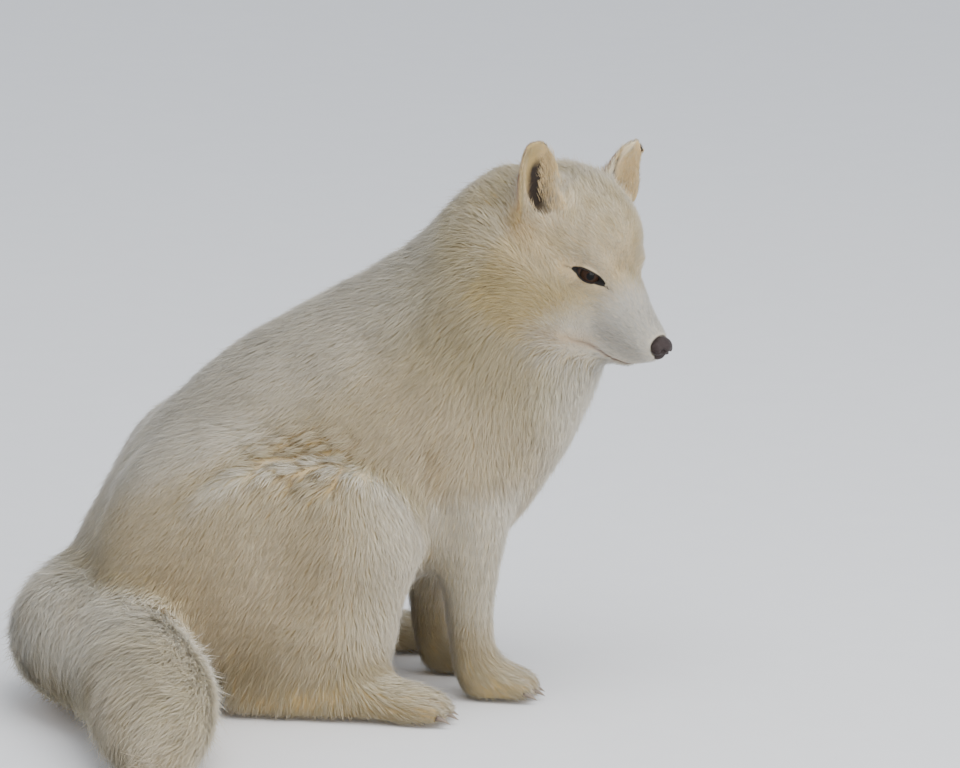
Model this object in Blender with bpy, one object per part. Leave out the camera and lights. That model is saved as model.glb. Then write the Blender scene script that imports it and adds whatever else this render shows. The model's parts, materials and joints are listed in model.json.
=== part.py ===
"""A sitting arctic fox in its winter coat, life size, as a still museum model.

The fox faces +X and turns its head to its own right, towards -Y. +Z is up and the floor is Z = 0.
The body is lofted from a few girths along the spine and the limbs, grown together by a voxel remesh,
and then parted into head, neck, trunk, legs and tail by thin cuts. Lengths below are in centimetres.
"""

import math

import bmesh
import bpy
from mathutils import Matrix, Vector

CM = 0.01
GAP = 0.0003  # clearance between neighbouring pieces, in metres
VOXEL = 0.0028
TAIL_VOXEL = 0.0042
BODY_TRIANGLES = 3100
TAIL_TRIANGLES = 460
EAR_TRIANGLES = 240
FAR = 60.0  # reach of a cutting block, past the whole animal
RIGHT, LEFT = -1, 1  # sign of Y on each side of the fox

# Head: the point midway between the eyes, and how the head is held.
EYE_MIDPOINT = (5.7, -2.5, 27.8)
HEAD_TURN = math.radians(41)  # towards the fox's right
HEAD_BOW = math.radians(26)
HEAD_TILT = math.radians(7)  # right side up
EYE_SPACING = 4.7
EYE_RADIUS = 0.9
EYE_OUTWARD = math.radians(60)  # away from straight ahead
EYE_BULGE = 0.18  # of the ball, past the middle of the lids
MUZZLE_LENGTH = 6.5
EAR_HEIGHT = 5.4
EAR_HALF_WIDTH = 2.15
EAR_CUP = 1.6
EAR_WALL = 0.42

# Trunk: back line and belly line (x, z), and half the width, from the seat to the throat.
TRUNK = (
    ((-28.2, 3.6), (-22.4, -0.8), 5.2),
    ((-28.9, 8.2), (-18.5, -0.6), 7.6),
    ((-26.5, 13.4), (-14.5, 2.0), 8.7),
    ((-22.9, 18.6), (-10.5, 4.4), 8.7),
    ((-18.4, 22.6), (-7.4, 6.6), 8.5),
    ((-13.4, 25.5), (-4.6, 8.4), 8.2),
    ((-9.7, 27.6), (-0.5, 10.5), 7.7),
    ((-7.4, 29.0), (2.9, 15.2), 7.2),
    ((-5.4, 30.8), (5.2, 20.0), 6.8),
    ((-3.2, 33.2), (5.9, 23.6), 6.2),
)

# Tail: centre line (x, y, z), half the height and half the width.
TAIL = (
    ((-22.8, 1.8, 5.2), 2.6, 2.8),
    ((-26.3, 0.8, 5.2), 3.8, 3.8),
    ((-28.4, -2.6, 4.8), 4.5, 4.4),
    ((-27.8, -7.0, 4.5), 4.6, 4.5),
    ((-25.2, -11.3, 4.3), 4.4, 4.4),
    ((-23.5, -16.2, 4.0), 4.2, 4.3),
    ((-22.7, -21.4, 3.6), 3.8, 4.1),
    ((-22.4, -26.0, 2.7), 2.9, 3.3),
    ((-22.2, -29.6, 1.6), 1.3, 1.6),
)
LEFT_FORELEG_BACK = -2.5  # the left foreleg stands a little further back
TAIL_CUTS = (2.9, 5.3)  # stations of TAIL where it is parted into lengths


def cm(*values):
    """A point given in centimetres, in metres."""
    return Vector(values) * CM


HEAD = (
    Matrix.Translation(cm(*EYE_MIDPOINT))
    @ Matrix.Rotation(-HEAD_TURN, 4, "Z")
    @ Matrix.Rotation(HEAD_BOW, 4, "Y")
    @ Matrix.Rotation(-HEAD_TILT, 4, "X")
)


# ---------------------------------------------------------------- shapes


def catmull_rom(values, at):
    """The smooth curve through equally spaced vectors, read at a station number."""
    last = len(values) - 1
    start = min(int(at), last - 1)
    u = at - start
    a, b, c, d = (values[max(0, min(last, start + k))] for k in (-1, 0, 1, 2))
    return 0.5 * (
        2 * b + (c - a) * u + (2 * a - 5 * b + 4 * c - d) * u**2 + (3 * b - a - 3 * c + d) * u**3
    )


def loft(bm, centres, ups, sides, steps=4, around=28):
    """A closed skin through rings that are given by a centre and two half axes each."""
    count = (len(centres) - 1) * steps
    rings = []
    for k in range(count + 1):
        centre, up, side = (catmull_rom(v, k / steps) for v in (centres, ups, sides))
        angles = [2 * math.pi * j / around for j in range(around)]
        rings.append([bm.verts.new(centre + up * math.cos(a) + side * math.sin(a)) for a in angles])
    for one, two in zip(rings, rings[1:]):
        for j in range(around):
            k = (j + 1) % around
            bm.faces.new((one[j], one[k], two[k], two[j]))
    for ring, centre in ((rings[0], centres[0]), (rings[-1], centres[-1])):
        pole = bm.verts.new(centre)
        for j in range(around):
            bm.faces.new((ring[j], ring[(j + 1) % around], pole))


def limb(bm, stations, place=Matrix(), grow=0.0, steps=4, around=28):
    """A loft along a limb. Each station is a centre (x, y, z), half the height and half the width."""
    points = [place @ cm(*s[0]) for s in stations]
    level = place.to_3x3() @ Vector((0, 0, 1))
    ups, sides = [], []
    for k, (_, height, width) in enumerate(stations):
        along = (points[min(k + 1, len(points) - 1)] - points[max(k - 1, 0)]).normalized()
        across = level.cross(along)
        if across.length < 0.35:  # a limb that runs straight up and down keeps its width across the body
            across = (place.to_3x3() @ Vector((0, 1, 0))).cross(along).cross(along) * -1
        across.normalize()
        ups.append(along.cross(across) * (height * CM + grow))
        sides.append(across * (width * CM + grow))
    points[0] -= (points[1] - points[0]).normalized() * grow
    points[-1] += (points[-1] - points[-2]).normalized() * grow
    loft(bm, points, ups, sides, steps, around)


def ellipsoid(bm, centre, radii, place=Matrix(), turn=Matrix(), grow=0.0, segments=28):
    size = Matrix.Diagonal([r * CM + grow for r in radii] + [1])
    at = place @ Matrix.Translation(cm(*centre)) @ turn @ size
    bmesh.ops.create_uvsphere(bm, u_segments=segments, v_segments=segments // 2, radius=1, matrix=at)


def mesh_object(name, build, *arguments, **options):
    """An object whose mesh is made by a function of a bmesh, with its faces pointing out."""
    bm = bmesh.new()
    build(bm, *arguments, **options)
    bmesh.ops.remove_doubles(bm, verts=bm.verts, dist=1e-6)
    bmesh.ops.recalc_face_normals(bm, faces=bm.faces)
    mesh = bpy.data.meshes.new(name)
    bm.to_mesh(mesh)
    bm.free()
    obj = bpy.data.objects.new(name, mesh)
    bpy.context.scene.collection.objects.link(obj)
    return obj


def applied(obj):
    """Bakes the object's modifiers into its mesh."""
    graph = bpy.context.evaluated_depsgraph_get()
    mesh = bpy.data.meshes.new_from_object(obj.evaluated_get(graph))
    obj.modifiers.clear()
    obj.data = mesh
    return obj


def copy_of(obj, name):
    twin = bpy.data.objects.new(name, obj.data.copy())
    bpy.context.scene.collection.objects.link(twin)
    return twin


def discard(*objects):
    for obj in objects:
        bpy.data.objects.remove(obj)


def boolean(obj, cutter, operation):
    modifier = obj.modifiers.new(operation.title(), "BOOLEAN")
    modifier.operation = operation
    modifier.solver = "EXACT"
    modifier.object = cutter
    return applied(obj)


def largest_body(obj):
    """Keeps only the biggest connected shell, so that no crumb of a cut is left."""
    bm = bmesh.new()
    bm.from_mesh(obj.data)
    left, shells = set(bm.verts), []
    while left:
        shell, edge = set(), [left.pop()]
        while edge:
            vertex = edge.pop()
            shell.add(vertex)
            for link in vertex.link_edges:
                other = link.other_vert(vertex)
                if other in left:
                    left.discard(other)
                    edge.append(other)
        shells.append(shell)
    keep = max(shells, key=len)
    bmesh.ops.delete(bm, geom=[v for v in bm.verts if v not in keep], context="VERTS")
    bm.to_mesh(obj.data)
    bm.free()
    return obj


def split(whole, name, cell, *arguments):
    """Parts a named piece off a whole: what lies in the cell. The cell's maker takes a growth in metres."""
    piece = copy_of(whole, name)
    inner = mesh_object("cell", cell, *arguments, grow=0.0)
    outer = mesh_object("cell_grown", cell, *arguments, grow=GAP)
    largest_body(boolean(piece, inner, "INTERSECT"))
    largest_body(boolean(whole, outer, "DIFFERENCE"))
    discard(inner, outer)
    return piece


def make_room(obj, neighbour):
    """Cuts a neighbour out of an object, with the clearance round it."""
    cutter = copy_of(neighbour, "cutter")
    swell = cutter.modifiers.new("Swell", "DISPLACE")
    swell.strength = GAP * 1.6
    swell.mid_level = 0.0
    applied(cutter)
    largest_body(boolean(obj, cutter, "DIFFERENCE"))
    discard(cutter)
    return obj


def block(bm, point, normal, across=FAR, grow=0.0):
    """A cutting block whose one face goes through a point, on the side that the normal points to."""
    normal = Vector(normal).normalized()
    centre = cm(*point) + normal * (across * CM / 2 - grow)
    turn = normal.to_track_quat("Z", "Y").to_matrix().to_4x4()
    bmesh.ops.create_cube(bm, size=across * CM, matrix=Matrix.Translation(centre) @ turn)


def grown_together(obj, voxel, triangles, smoothing, fine=None):
    """Fuses overlapping shells into one smooth skin. fine(point) is 0 where form is kept, up to 1."""
    remesh = obj.modifiers.new("Fuse", "REMESH")
    remesh.mode = "VOXEL"
    remesh.voxel_size = voxel
    applied(obj)
    group = obj.vertex_groups.new(name="soft")
    for vertex in obj.data.vertices:
        group.add([vertex.index], fine(vertex.co) if fine else 1.0, "REPLACE")
    smooth = obj.modifiers.new("Soften", "SMOOTH")
    smooth.factor = 0.5
    smooth.iterations = smoothing
    smooth.vertex_group = group.name
    thin = obj.modifiers.new("Thin", "DECIMATE")
    thin.ratio = triangles / (2 * len(obj.data.polygons))
    thin.vertex_group = group.name
    thin.vertex_group_factor = 0.1
    thin.use_collapse_triangulate = True
    applied(obj)
    obj.vertex_groups.clear()
    return obj


# ---------------------------------------------------------------- body


def trunk_shape(bm):
    ellipsoid(bm, (-18.8, 0, 9.5), (8.3, 10.0, 9.3))  # rump
    backs = [cm(back[0], 0, back[1]) for back, _, _ in TRUNK]
    bellies = [cm(belly[0], 0, belly[1]) for _, belly, _ in TRUNK]
    centres = [(a + b) / 2 for a, b in zip(backs, bellies)]
    ups = [(a - b) / 2 for a, b in zip(backs, bellies)]
    sides = [cm(0, width, 0) for _, _, width in TRUNK]
    loft(bm, centres, ups, sides, around=36)


def head_shape(bm):
    ellipsoid(bm, (-4.2, 0, 0.9), (4.9, 4.3, 3.8), HEAD)  # skull
    ellipsoid(bm, (-2.1, 0, 1.5), (3.2, 2.9, 3.0), HEAD)  # forehead
    ellipsoid(bm, (-5.6, 0, -1.8), (4.4, 5.2, 5.2), HEAD)  # nape and throat
    muzzle = (
        ((-2.6, 0, -1.0), 3.0, 3.4),
        ((-0.5, 0, -1.25), 2.7, 2.85),
        ((1.6, 0, -1.6), 2.35, 2.1),
        ((3.4, 0, -2.1), 1.85, 1.65),
        ((5.0, 0, -2.3), 1.45, 1.38),
        ((MUZZLE_LENGTH - 0.5, 0, -2.35), 1.08, 1.08),
    )
    limb(bm, muzzle, HEAD)
    jaw = (
        ((-4.2, 0, -3.4), 2.2, 3.2),
        ((-1.4, 0, -3.9), 1.8, 2.4),
        ((1.4, 0, -4.2), 1.3, 1.65),
        ((3.4, 0, -4.1), 0.9, 1.15),
        ((4.9, 0, -3.8), 0.5, 0.75),
    )
    limb(bm, jaw, HEAD)
    for side in (RIGHT, LEFT):
        place = HEAD @ Matrix.Diagonal((1, side, 1, 1))
        ellipsoid(bm, (-0.1, 1.8, 1.0), (1.25, 1.05, 0.8), place)  # brow
        ellipsoid(bm, (-3.2, 3.2, -2.0), (3.0, 2.2, 2.6), place)  # cheek
        ellipsoid(bm, (-1.0, 2.1, -2.3), (2.4, 1.5, 1.9), place)  # below the eye
        ellipsoid(bm, (-4.8, 3.7, -2.1), (3.4, 3.0, 3.9), place)  # ruff
        ellipsoid(bm, (-4.9, 3.6, 1.8), (2.0, 1.7, 1.9), place)  # root of the ear
        ellipsoid(bm, (-7.2, 2.5, 1.0), (2.7, 2.6, 2.5), place)  # nape behind the ear


def foreleg_stations(side):
    back = 0.0 if side == RIGHT else LEFT_FORELEG_BACK
    return (
        ((-4.2 + back, side * 4.4, 18.5), 3.6, 2.6),
        ((-3.6 + back, side * 4.3, 14.5), 3.4, 2.5),
        ((-3.3 + back, side * 4.1, 11.4), 2.75, 2.3),
        ((-3.3 + back, side * 3.8, 8.6), 2.2, 2.05),
        ((-3.2 + back, side * 3.6, 5.8), 1.8, 1.75),
        ((-3.0 + back, side * 3.5, 3.2), 1.62, 1.7),
        ((-2.6 + back, side * 3.5, 1.2), 1.6, 1.75),
    )


def foreleg_shape(bm, side, first=0, grow=0.0):
    limb(bm, foreleg_stations(side)[first:], grow=grow)
    back = 0.0 if side == RIGHT else LEFT_FORELEG_BACK
    paw_shape(bm, (-1.5 + back, side * 3.55, 1.05), side * 0.05, 2.6, 2.0, grow)


def paw_shape(bm, centre, toe_out, length, half_width, grow=0.0):
    """A furred foot: a low pad and four toes, the middle two ahead. toe_out is in radians."""
    place = Matrix.Translation(cm(*centre)) @ Matrix.Rotation(toe_out, 4, "Z")
    ellipsoid(bm, (0, 0, 0), (length, half_width * 0.95, 1.75), place, grow=grow)
    for k in range(4):
        lateral = (k - 1.5) * 0.52 * half_width
        ahead = length * 0.78 - 0.42 * (k - 1.5) ** 2 * 0.6
        ellipsoid(bm, (ahead, lateral, -0.1), (1.25, 0.62, 1.05), place, grow=grow)


def thigh_shape(bm, side):
    ellipsoid(bm, (-18.3, side * 6.1, 10.6), (8.6, 4.6, 8.7))  # haunch
    ellipsoid(bm, (-11.4, side * 6.8, 11.4), (5.4, 3.7, 6.6))  # knee
    ellipsoid(bm, (-13.2, side * 7.3, 5.8), (5.8, 3.5, 4.6))  # shank


def hindfoot_shape(bm, side, grow=0.0):
    sole = (
        ((-18.6, side * 7.7, 1.4), 1.6, 1.7),
        ((-15.0, side * 8.3, 1.5), 1.9, 1.8),
        ((-11.0, side * 8.9, 1.6), 1.75, 1.75),
        ((-8.2, side * 9.3, 1.4), 1.6, 1.9),
    )
    limb(bm, sole, grow=grow)
    paw_shape(bm, (-7.1, side * 9.5, 1.0), side * 0.15, 2.7, 2.15, grow)


def body_shape(bm):
    trunk_shape(bm)
    head_shape(bm)
    for side in (RIGHT, LEFT):
        foreleg_shape(bm, side)
        thigh_shape(bm, side)
        hindfoot_shape(bm, side)


def tail_shape(bm):
    limb(bm, TAIL)


def softness(point):
    """How freely the skin may relax: little on the face and the feet."""
    ahead = (HEAD.inverted() @ point).x / CM
    if ahead > -6 and point.z > 20 * CM:
        return 0.25 if ahead > 1.5 else 0.55
    on_foot = point.z < 3.2 * CM and point.x > -13 * CM
    return 0.3 if on_foot else 1.0


def stand_on_floor(obj):
    """Trims what would sink below the floor, which leaves small flats at one level."""
    floor = mesh_object("floor_block", block, (0, 0, 0), (0, 0, -1), 2 * FAR)
    boolean(obj, floor, "DIFFERENCE")
    discard(floor)
    return largest_body(obj)


# ---------------------------------------------------------------- head pieces


def ear_shape(bm, side):
    """A short rounded leaf, cupped forwards, that leans back and out."""
    rows, columns = 16, 14
    mirror = Matrix.Diagonal((1, side, 1))
    axis = Vector((-0.47, 0.27, 0.84)).normalized()
    facing = Vector((0.99, 0.1, 0.0))
    facing = (facing - axis * facing.dot(axis)).normalized()
    across = axis.cross(facing)
    base = Vector((-3.4, 3.75, 1.3))
    grid = []
    for i in range(rows + 1):
        v = i / rows
        width = EAR_HALF_WIDTH * (1 - (0.97 * v) ** 2.6) ** 0.62 * (0.86 + 0.3 * v)
        depth = EAR_CUP * (1 - v) ** 0.55
        row = []
        for j in range(columns + 1):
            u = 2 * j / columns - 1
            spread = math.sin(u * math.pi / 2) * width
            hollow = -depth * math.cos(u * math.pi / 2) ** 0.8
            point = base + axis * (v * EAR_HEIGHT) + across * spread + facing * hollow
            row.append(bm.verts.new(HEAD @ (mirror @ point * CM)))
        grid.append(row)
    for low, high in zip(grid, grid[1:]):
        for j in range(columns):
            bm.faces.new((low[j], low[j + 1], high[j + 1], high[j]))


def ear(name, side, head):
    obj = mesh_object(name, ear_shape, side)
    wall = obj.modifiers.new("Wall", "SOLIDIFY")
    wall.thickness = EAR_WALL * CM
    wall.offset = 0.0
    applied(obj)
    grown_together(obj, EAR_WALL * CM / 3.5, EAR_TRIANGLES, 3)
    return make_room(obj, head)


def eye_place(side):
    """The frame of an eye: its own x looks out of the head, from the middle of the lids."""
    lids = Matrix.Translation(cm(0.1, EYE_SPACING / 2, 0))
    return HEAD @ Matrix.Diagonal((1, side, 1, 1)) @ lids @ Matrix.Rotation(EYE_OUTWARD, 4, "Z")


def eye_shape(bm, side, grow=0.0):
    ellipsoid(bm, (EYE_BULGE - EYE_RADIUS, 0.1, 0), [EYE_RADIUS] * 3, eye_place(side), grow=grow, segments=14)


def eye_opening(bm, side):
    """The almond between the lids."""
    ellipsoid(bm, (0, 0, 0), (1.3, 1.12, 0.42), eye_place(side), segments=14)


def nose_shape(bm, grow=0.0):
    ellipsoid(bm, (MUZZLE_LENGTH - 0.55, 0, -1.9), (0.62, 0.82, 0.7), HEAD, grow=grow, segments=14)


def nostril(bm, side):
    ellipsoid(bm, (MUZZLE_LENGTH - 0.1, side * 0.42, -2.0), (0.3, 0.2, 0.18), HEAD, segments=6)


def mouth_cell(bm, grow=0.0):
    """The lower jaw's cell: below the line of the lips, which rises to the corner of the mouth."""
    profile = ((1.3, -3.8), (2.6, -4.0), (4.4, -4.0), (5.6, -3.5), (9.0, -3.0), (9.0, -9.0), (1.3, -9.0))
    faces = []
    for side in (RIGHT, LEFT):
        points = [HEAD @ cm(x, side * 5.0, z) for x, z in profile]
        faces.append([bm.verts.new(p) for p in points])
    near, far = faces
    bm.faces.new(near)
    bm.faces.new(far)
    for k in range(len(profile)):
        j = (k + 1) % len(profile)
        bm.faces.new((near[k], near[j], far[j], far[k]))
    if grow:
        bmesh.ops.recalc_face_normals(bm, faces=bm.faces)
        for vertex in bm.verts:
            vertex.normal_update()
        for vertex in bm.verts:
            vertex.co += vertex.normal * grow * 1.4


# ---------------------------------------------------------------- finish


def material(name, color, roughness):
    made = bpy.data.materials.new(name)
    made.use_nodes = True
    shader = made.node_tree.nodes["Principled BSDF"]
    shader.inputs["Base Color"].default_value = (*color, 1)
    shader.inputs["Roughness"].default_value = roughness
    shader.inputs["Metallic"].default_value = 0.0
    made.diffuse_color = (*color, 1)
    return made


def cut_across_tail(at):
    """A point and a direction of the tail's centre line, towards its tip."""
    points = [cm(*s[0]) for s in TAIL]
    here = catmull_rom(points, at)
    return [v / CM for v in here], catmull_rom(points, at + 0.05) - here


def build():
    for obj in list(bpy.data.objects):
        bpy.data.objects.remove(obj)
    coat = material("winter_coat", (0.62, 0.57, 0.47), 0.85)
    ear_coat = material("ear_coat", (0.50, 0.40, 0.27), 0.85)
    eye_gloss = material("eye", (0.035, 0.02, 0.012), 0.15)
    nose_leather = material("nose_leather", (0.03, 0.025, 0.025), 0.45)

    body = mesh_object("trunk", body_shape)
    grown_together(body, VOXEL, BODY_TRIANGLES, 10, softness)
    stand_on_floor(body)
    tail = mesh_object("tail_root", tail_shape)
    grown_together(tail, TAIL_VOXEL, TAIL_TRIANGLES, 6)
    stand_on_floor(tail)

    pieces = {"trunk": body}
    head = split(body, "head", block, (0.2, -0.6, 27.0), (0.62, -0.28, 0.73))
    pieces["neck"] = split(body, "neck", block, (-1.6, 0, 21.6), (0.42, -0.05, 0.91))
    for side, word in ((RIGHT, "right"), (LEFT, "left")):
        pieces["hindfoot_" + word] = split(body, "hindfoot_" + word, hindfoot_cell, side)
        pieces["thigh_" + word] = split(body, "thigh_" + word, thigh_cell, side)
        pieces["forepaw_" + word] = split(body, "forepaw_" + word, forepaw_cell, side)
        pieces["foreleg_" + word] = split(body, "foreleg_" + word, foreleg_cell, side)
    make_room(body, tail)
    make_room(pieces["thigh_right"], tail)
    for name, at in reversed(tuple(zip(("tail_middle", "tail_tip"), TAIL_CUTS))):
        pieces[name] = split(tail, name, block, *cut_across_tail(at))
    pieces["tail_root"] = tail

    pieces["head"] = head
    pieces["nose"] = mesh_object("nose", nose_shape)
    hollow = mesh_object("hollow", nose_shape, grow=GAP)
    boolean(head, hollow, "DIFFERENCE")
    discard(hollow)
    for side, word in ((RIGHT, "right"), (LEFT, "left")):
        pieces["eye_" + word] = mesh_object("eye_" + word, eye_shape, side)
        for maker, options in ((eye_shape, {"grow": GAP}), (eye_opening, {})):
            hollow = mesh_object("hollow", maker, side, **options)
            boolean(head, hollow, "DIFFERENCE")
            discard(hollow)
        hollow = mesh_object("hollow", nostril, side)
        boolean(pieces["nose"], hollow, "DIFFERENCE")
        discard(hollow)
    largest_body(head)
    pieces["lower_jaw"] = split(head, "lower_jaw", mouth_cell)
    for side, word in ((RIGHT, "right"), (LEFT, "left")):
        pieces["ear_" + word] = ear("ear_" + word, side, head)

    centre_on_origin(pieces.values())
    looks = {"ear": ear_coat, "eye": eye_gloss, "nose": nose_leather}
    for name, obj in pieces.items():
        obj.data.materials.clear()
        obj.data.materials.append(looks.get(name.split("_")[0], coat))
        obj.data.shade_smooth()
        obj.data.set_sharp_from_angle(angle=math.radians(50))


def hindfoot_cell(bm, side, grow=0.0):
    """A sleeve round the long hind foot, from heel to toes."""
    stations = (
        ((-20.5, side * 7.4, 0.9), 3.0, 2.4),
        ((-15.0, side * 8.3, 1.2), 2.7, 2.5),
        ((-11.0, side * 8.9, 1.3), 2.6, 2.6),
        ((-7.0, side * 9.4, 1.2), 2.9, 3.2),
        ((-2.0, side * 10.0, 1.0), 2.9, 3.4),
    )
    limb(bm, stations, grow=grow, steps=2, around=12)


def forepaw_cell(bm, side, grow=0.0):
    """A box round the forefoot, up to the wrist."""
    low, high = cm(-9.0, 0.4, -2.0), cm(5.0, 7.4, 3.4)
    size = [b - a + 2 * grow for a, b in zip(low, high)]
    centre = (low + high) / 2
    centre.y *= side
    bmesh.ops.create_cube(bm, size=1, matrix=Matrix.Translation(centre) @ Matrix.Diagonal(size + [1]))


def foreleg_cell(bm, side, grow=0.0):
    """A sleeve round the foreleg, from the wrist to above the elbow."""
    stations = [(centre, height + 0.9, width + 0.8) for centre, height, width in foreleg_stations(side)[1:]]
    stations.append(((stations[-1][0][0], stations[-1][0][1], -1.0), 2.6, 2.6))
    limb(bm, stations, grow=grow, steps=2, around=12)


def thigh_cell(bm, side, grow=0.0):
    """A round cell over the haunch, knee and shank. It reaches in under the belly, clear of the midline."""
    middle = cm(-13.4, side * 15.0, 4.0)
    radii = (13.0 * CM + grow, 12.4 * CM + grow, 15.0 * CM + grow)
    place = Matrix.Translation(middle) @ Matrix.Diagonal([*radii, 1])
    bmesh.ops.create_uvsphere(bm, u_segments=24, v_segments=12, radius=1, matrix=place)


def centre_on_origin(objects):
    """Puts the middle of the animal's footprint box over the origin, the floor at Z = 0."""
    corners = [v.co for obj in objects for v in obj.data.vertices]
    low = Vector([min(c[k] for c in corners) for k in range(3)])
    high = Vector([max(c[k] for c in corners) for k in range(3)])
    shift = Vector((-(low.x + high.x) / 2, -(low.y + high.y) / 2, -low.z))
    for obj in objects:
        obj.data.transform(Matrix.Translation(shift))


build()
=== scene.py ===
"""An arctic fox in its winter coat: one skin under mesh tufts, with eyes, nose, claws and whiskers.

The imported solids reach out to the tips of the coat. The skin is their fused surface, let in by the coat's
depth, and each tuft grows from the skin, leans with the lie of the coat and ends near the solids' surface.
Head measures are centimetres in the head's own frame: x ahead, y to the fox's left, z up.
"""
import json
import math

import bmesh
import bpy
import numpy as np
from mathutils import Matrix, Vector, noise
from mathutils.bvhtree import BVHTree
from mathutils.kdtree import KDTree

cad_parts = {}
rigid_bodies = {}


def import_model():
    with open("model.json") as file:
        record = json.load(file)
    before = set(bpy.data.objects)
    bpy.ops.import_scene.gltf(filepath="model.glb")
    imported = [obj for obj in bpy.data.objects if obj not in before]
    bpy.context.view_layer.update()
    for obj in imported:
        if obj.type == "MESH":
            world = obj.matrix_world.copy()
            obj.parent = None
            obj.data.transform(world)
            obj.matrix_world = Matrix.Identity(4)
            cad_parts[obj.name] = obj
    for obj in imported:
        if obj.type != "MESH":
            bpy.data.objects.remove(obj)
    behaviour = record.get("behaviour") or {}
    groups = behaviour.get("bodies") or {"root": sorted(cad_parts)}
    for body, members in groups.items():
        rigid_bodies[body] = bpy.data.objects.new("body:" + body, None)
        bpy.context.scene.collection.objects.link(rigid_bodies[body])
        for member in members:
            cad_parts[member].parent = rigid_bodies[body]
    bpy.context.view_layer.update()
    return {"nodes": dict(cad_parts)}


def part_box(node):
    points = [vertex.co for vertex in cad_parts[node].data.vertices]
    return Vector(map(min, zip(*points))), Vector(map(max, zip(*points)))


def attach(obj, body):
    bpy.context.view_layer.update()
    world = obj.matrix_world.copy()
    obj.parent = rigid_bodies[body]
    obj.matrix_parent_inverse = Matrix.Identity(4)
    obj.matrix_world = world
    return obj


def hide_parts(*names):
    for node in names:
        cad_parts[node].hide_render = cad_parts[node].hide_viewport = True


CM = 0.01
MM = 0.001
RIGHT, LEFT = -1, 1  # sign of Y on each side of the fox
CHIN_HEIGHT = 15 * CM  # only the head and the neck are higher, ahead of the chest

for leftover in list(bpy.data.objects):
    bpy.data.objects.remove(leftover)
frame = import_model()
rng = np.random.default_rng(11)
noise.seed_set(11)  # otherwise its vectors follow the clock, and no two runs are alike

SKIN_VOXEL = 3.15 * MM
SEAM_OVERLAP = 0.45 * MM  # closes the clearance between the solids
NOSE_DROP = math.radians(16.8)  # the nose's centre is below the eyes' level by this angle
EYES_BACK = 0.3466  # the eyeballs' centres are this far behind the head frame's origin
EYE_RADIUS = 0.9
LID_CENTRE = (0.22, 2.35, -0.2)
EYE_OUTWARD = math.radians(60)
BALL_IN_EYE = (-0.72, 0.1, 0.0)
LID_HALF_LENGTH = 1.2


# ---------------------------------------------------------------- small tools


def middle(node):
    low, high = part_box(node)
    return (low + high) / 2


def head_frame():
    """The head's frame, from where the solids have the eyes and the nose."""
    right, left, nose = (middle(n) for n in ("eye_right", "eye_left", "nose"))
    across = (left - right).normalized()
    between = (left + right) / 2
    ahead = nose - between
    ahead -= across * ahead.dot(across)
    forward = Matrix.Rotation(-NOSE_DROP, 3, across) @ ahead.normalized()
    up = forward.cross(across)
    turn = Matrix((forward, across, up)).transposed().to_4x4()
    return Matrix.Translation(between + forward * EYES_BACK * CM) @ turn @ Matrix.Scale(CM, 4)


HEAD = head_frame()
HEAD_INV = HEAD.inverted()


def eye_frame(side):
    """An eye's frame in centimetres: x looks out, y runs to the outer corner, z up."""
    lids = Matrix.Translation(LID_CENTRE)
    return HEAD @ Matrix.Diagonal((1, side, 1, 1)) @ lids @ Matrix.Rotation(EYE_OUTWARD, 4, "Z")


def moved(points, matrix):
    m = np.array(matrix)
    return points @ m[:3, :3].T + m[:3, 3]


def turned(vectors, matrix):
    m = np.array(matrix)[:3, :3]
    return unit(np.asarray(vectors, float) @ m.T)


def unit(v):
    return v / np.maximum(np.linalg.norm(v, axis=-1, keepdims=True), 1e-9)


def dot(a, b):
    return (a * b).sum(-1, keepdims=True)


def ease(low, high, x):
    """0 below low, 1 above high, smooth between; low may be the larger."""
    t = np.clip((x - low) / (high - low), 0, 1)
    return t * t * (3 - 2 * t)


def bump(x, centre, width):
    return np.exp(-(((x - centre) / width) ** 2))


def starts(part, word):
    return np.char.startswith(part, word)


def column(values):
    return np.asarray(values, float)[:, None]


def wander(points, size, seed):
    """A smooth random vector at each point, that changes over a distance of size metres."""
    shift = Vector((seed * 7.31, seed * 3.17, seed * 5.77))
    return np.array([noise.noise_vector(Vector(p) / size + shift) for p in points])


def read(collection, name, width):
    out = np.zeros(len(collection) * width, np.float32)
    collection.foreach_get(name, out)
    return out.reshape(-1, width).astype(float)


def put(mesh, name, kind, values):
    """Writes a value for each vertex."""
    made = mesh.attributes.new(name, kind, "POINT")
    field = {"FLOAT": "value", "FLOAT_VECTOR": "vector", "FLOAT_COLOR": "color"}[kind]
    made.data.foreach_set(field, np.asarray(values, np.float32).ravel())


def linked(name, mesh):
    obj = bpy.data.objects.new(name, mesh)
    bpy.context.scene.collection.objects.link(obj)
    return obj


def baked(obj):
    """The object's evaluated mesh, with its modifiers cleared."""
    graph = bpy.context.evaluated_depsgraph_get()
    mesh = bpy.data.meshes.new_from_object(obj.evaluated_get(graph))
    obj.modifiers.clear()
    obj.data = mesh
    return mesh


def relaxed(values, edges, turns, freedom=0.5):
    """Evens values out over a mesh by sharing them along its edges."""
    out = np.array(values, float)
    flat = out.ndim == 1
    if flat:
        out = out[:, None]
    n = len(out)
    one, two = edges[:, 0], edges[:, 1]
    links = np.bincount(edges.ravel(), minlength=n)[:, None]
    for _ in range(turns):
        total = np.zeros_like(out)
        for k in range(out.shape[1]):
            total[:, k] = np.bincount(one, out[two, k], n) + np.bincount(two, out[one, k], n)
        out += freedom * (total / links - out)
    return out[:, 0] if flat else out


# ---------------------------------------------------------------- node trees


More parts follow.
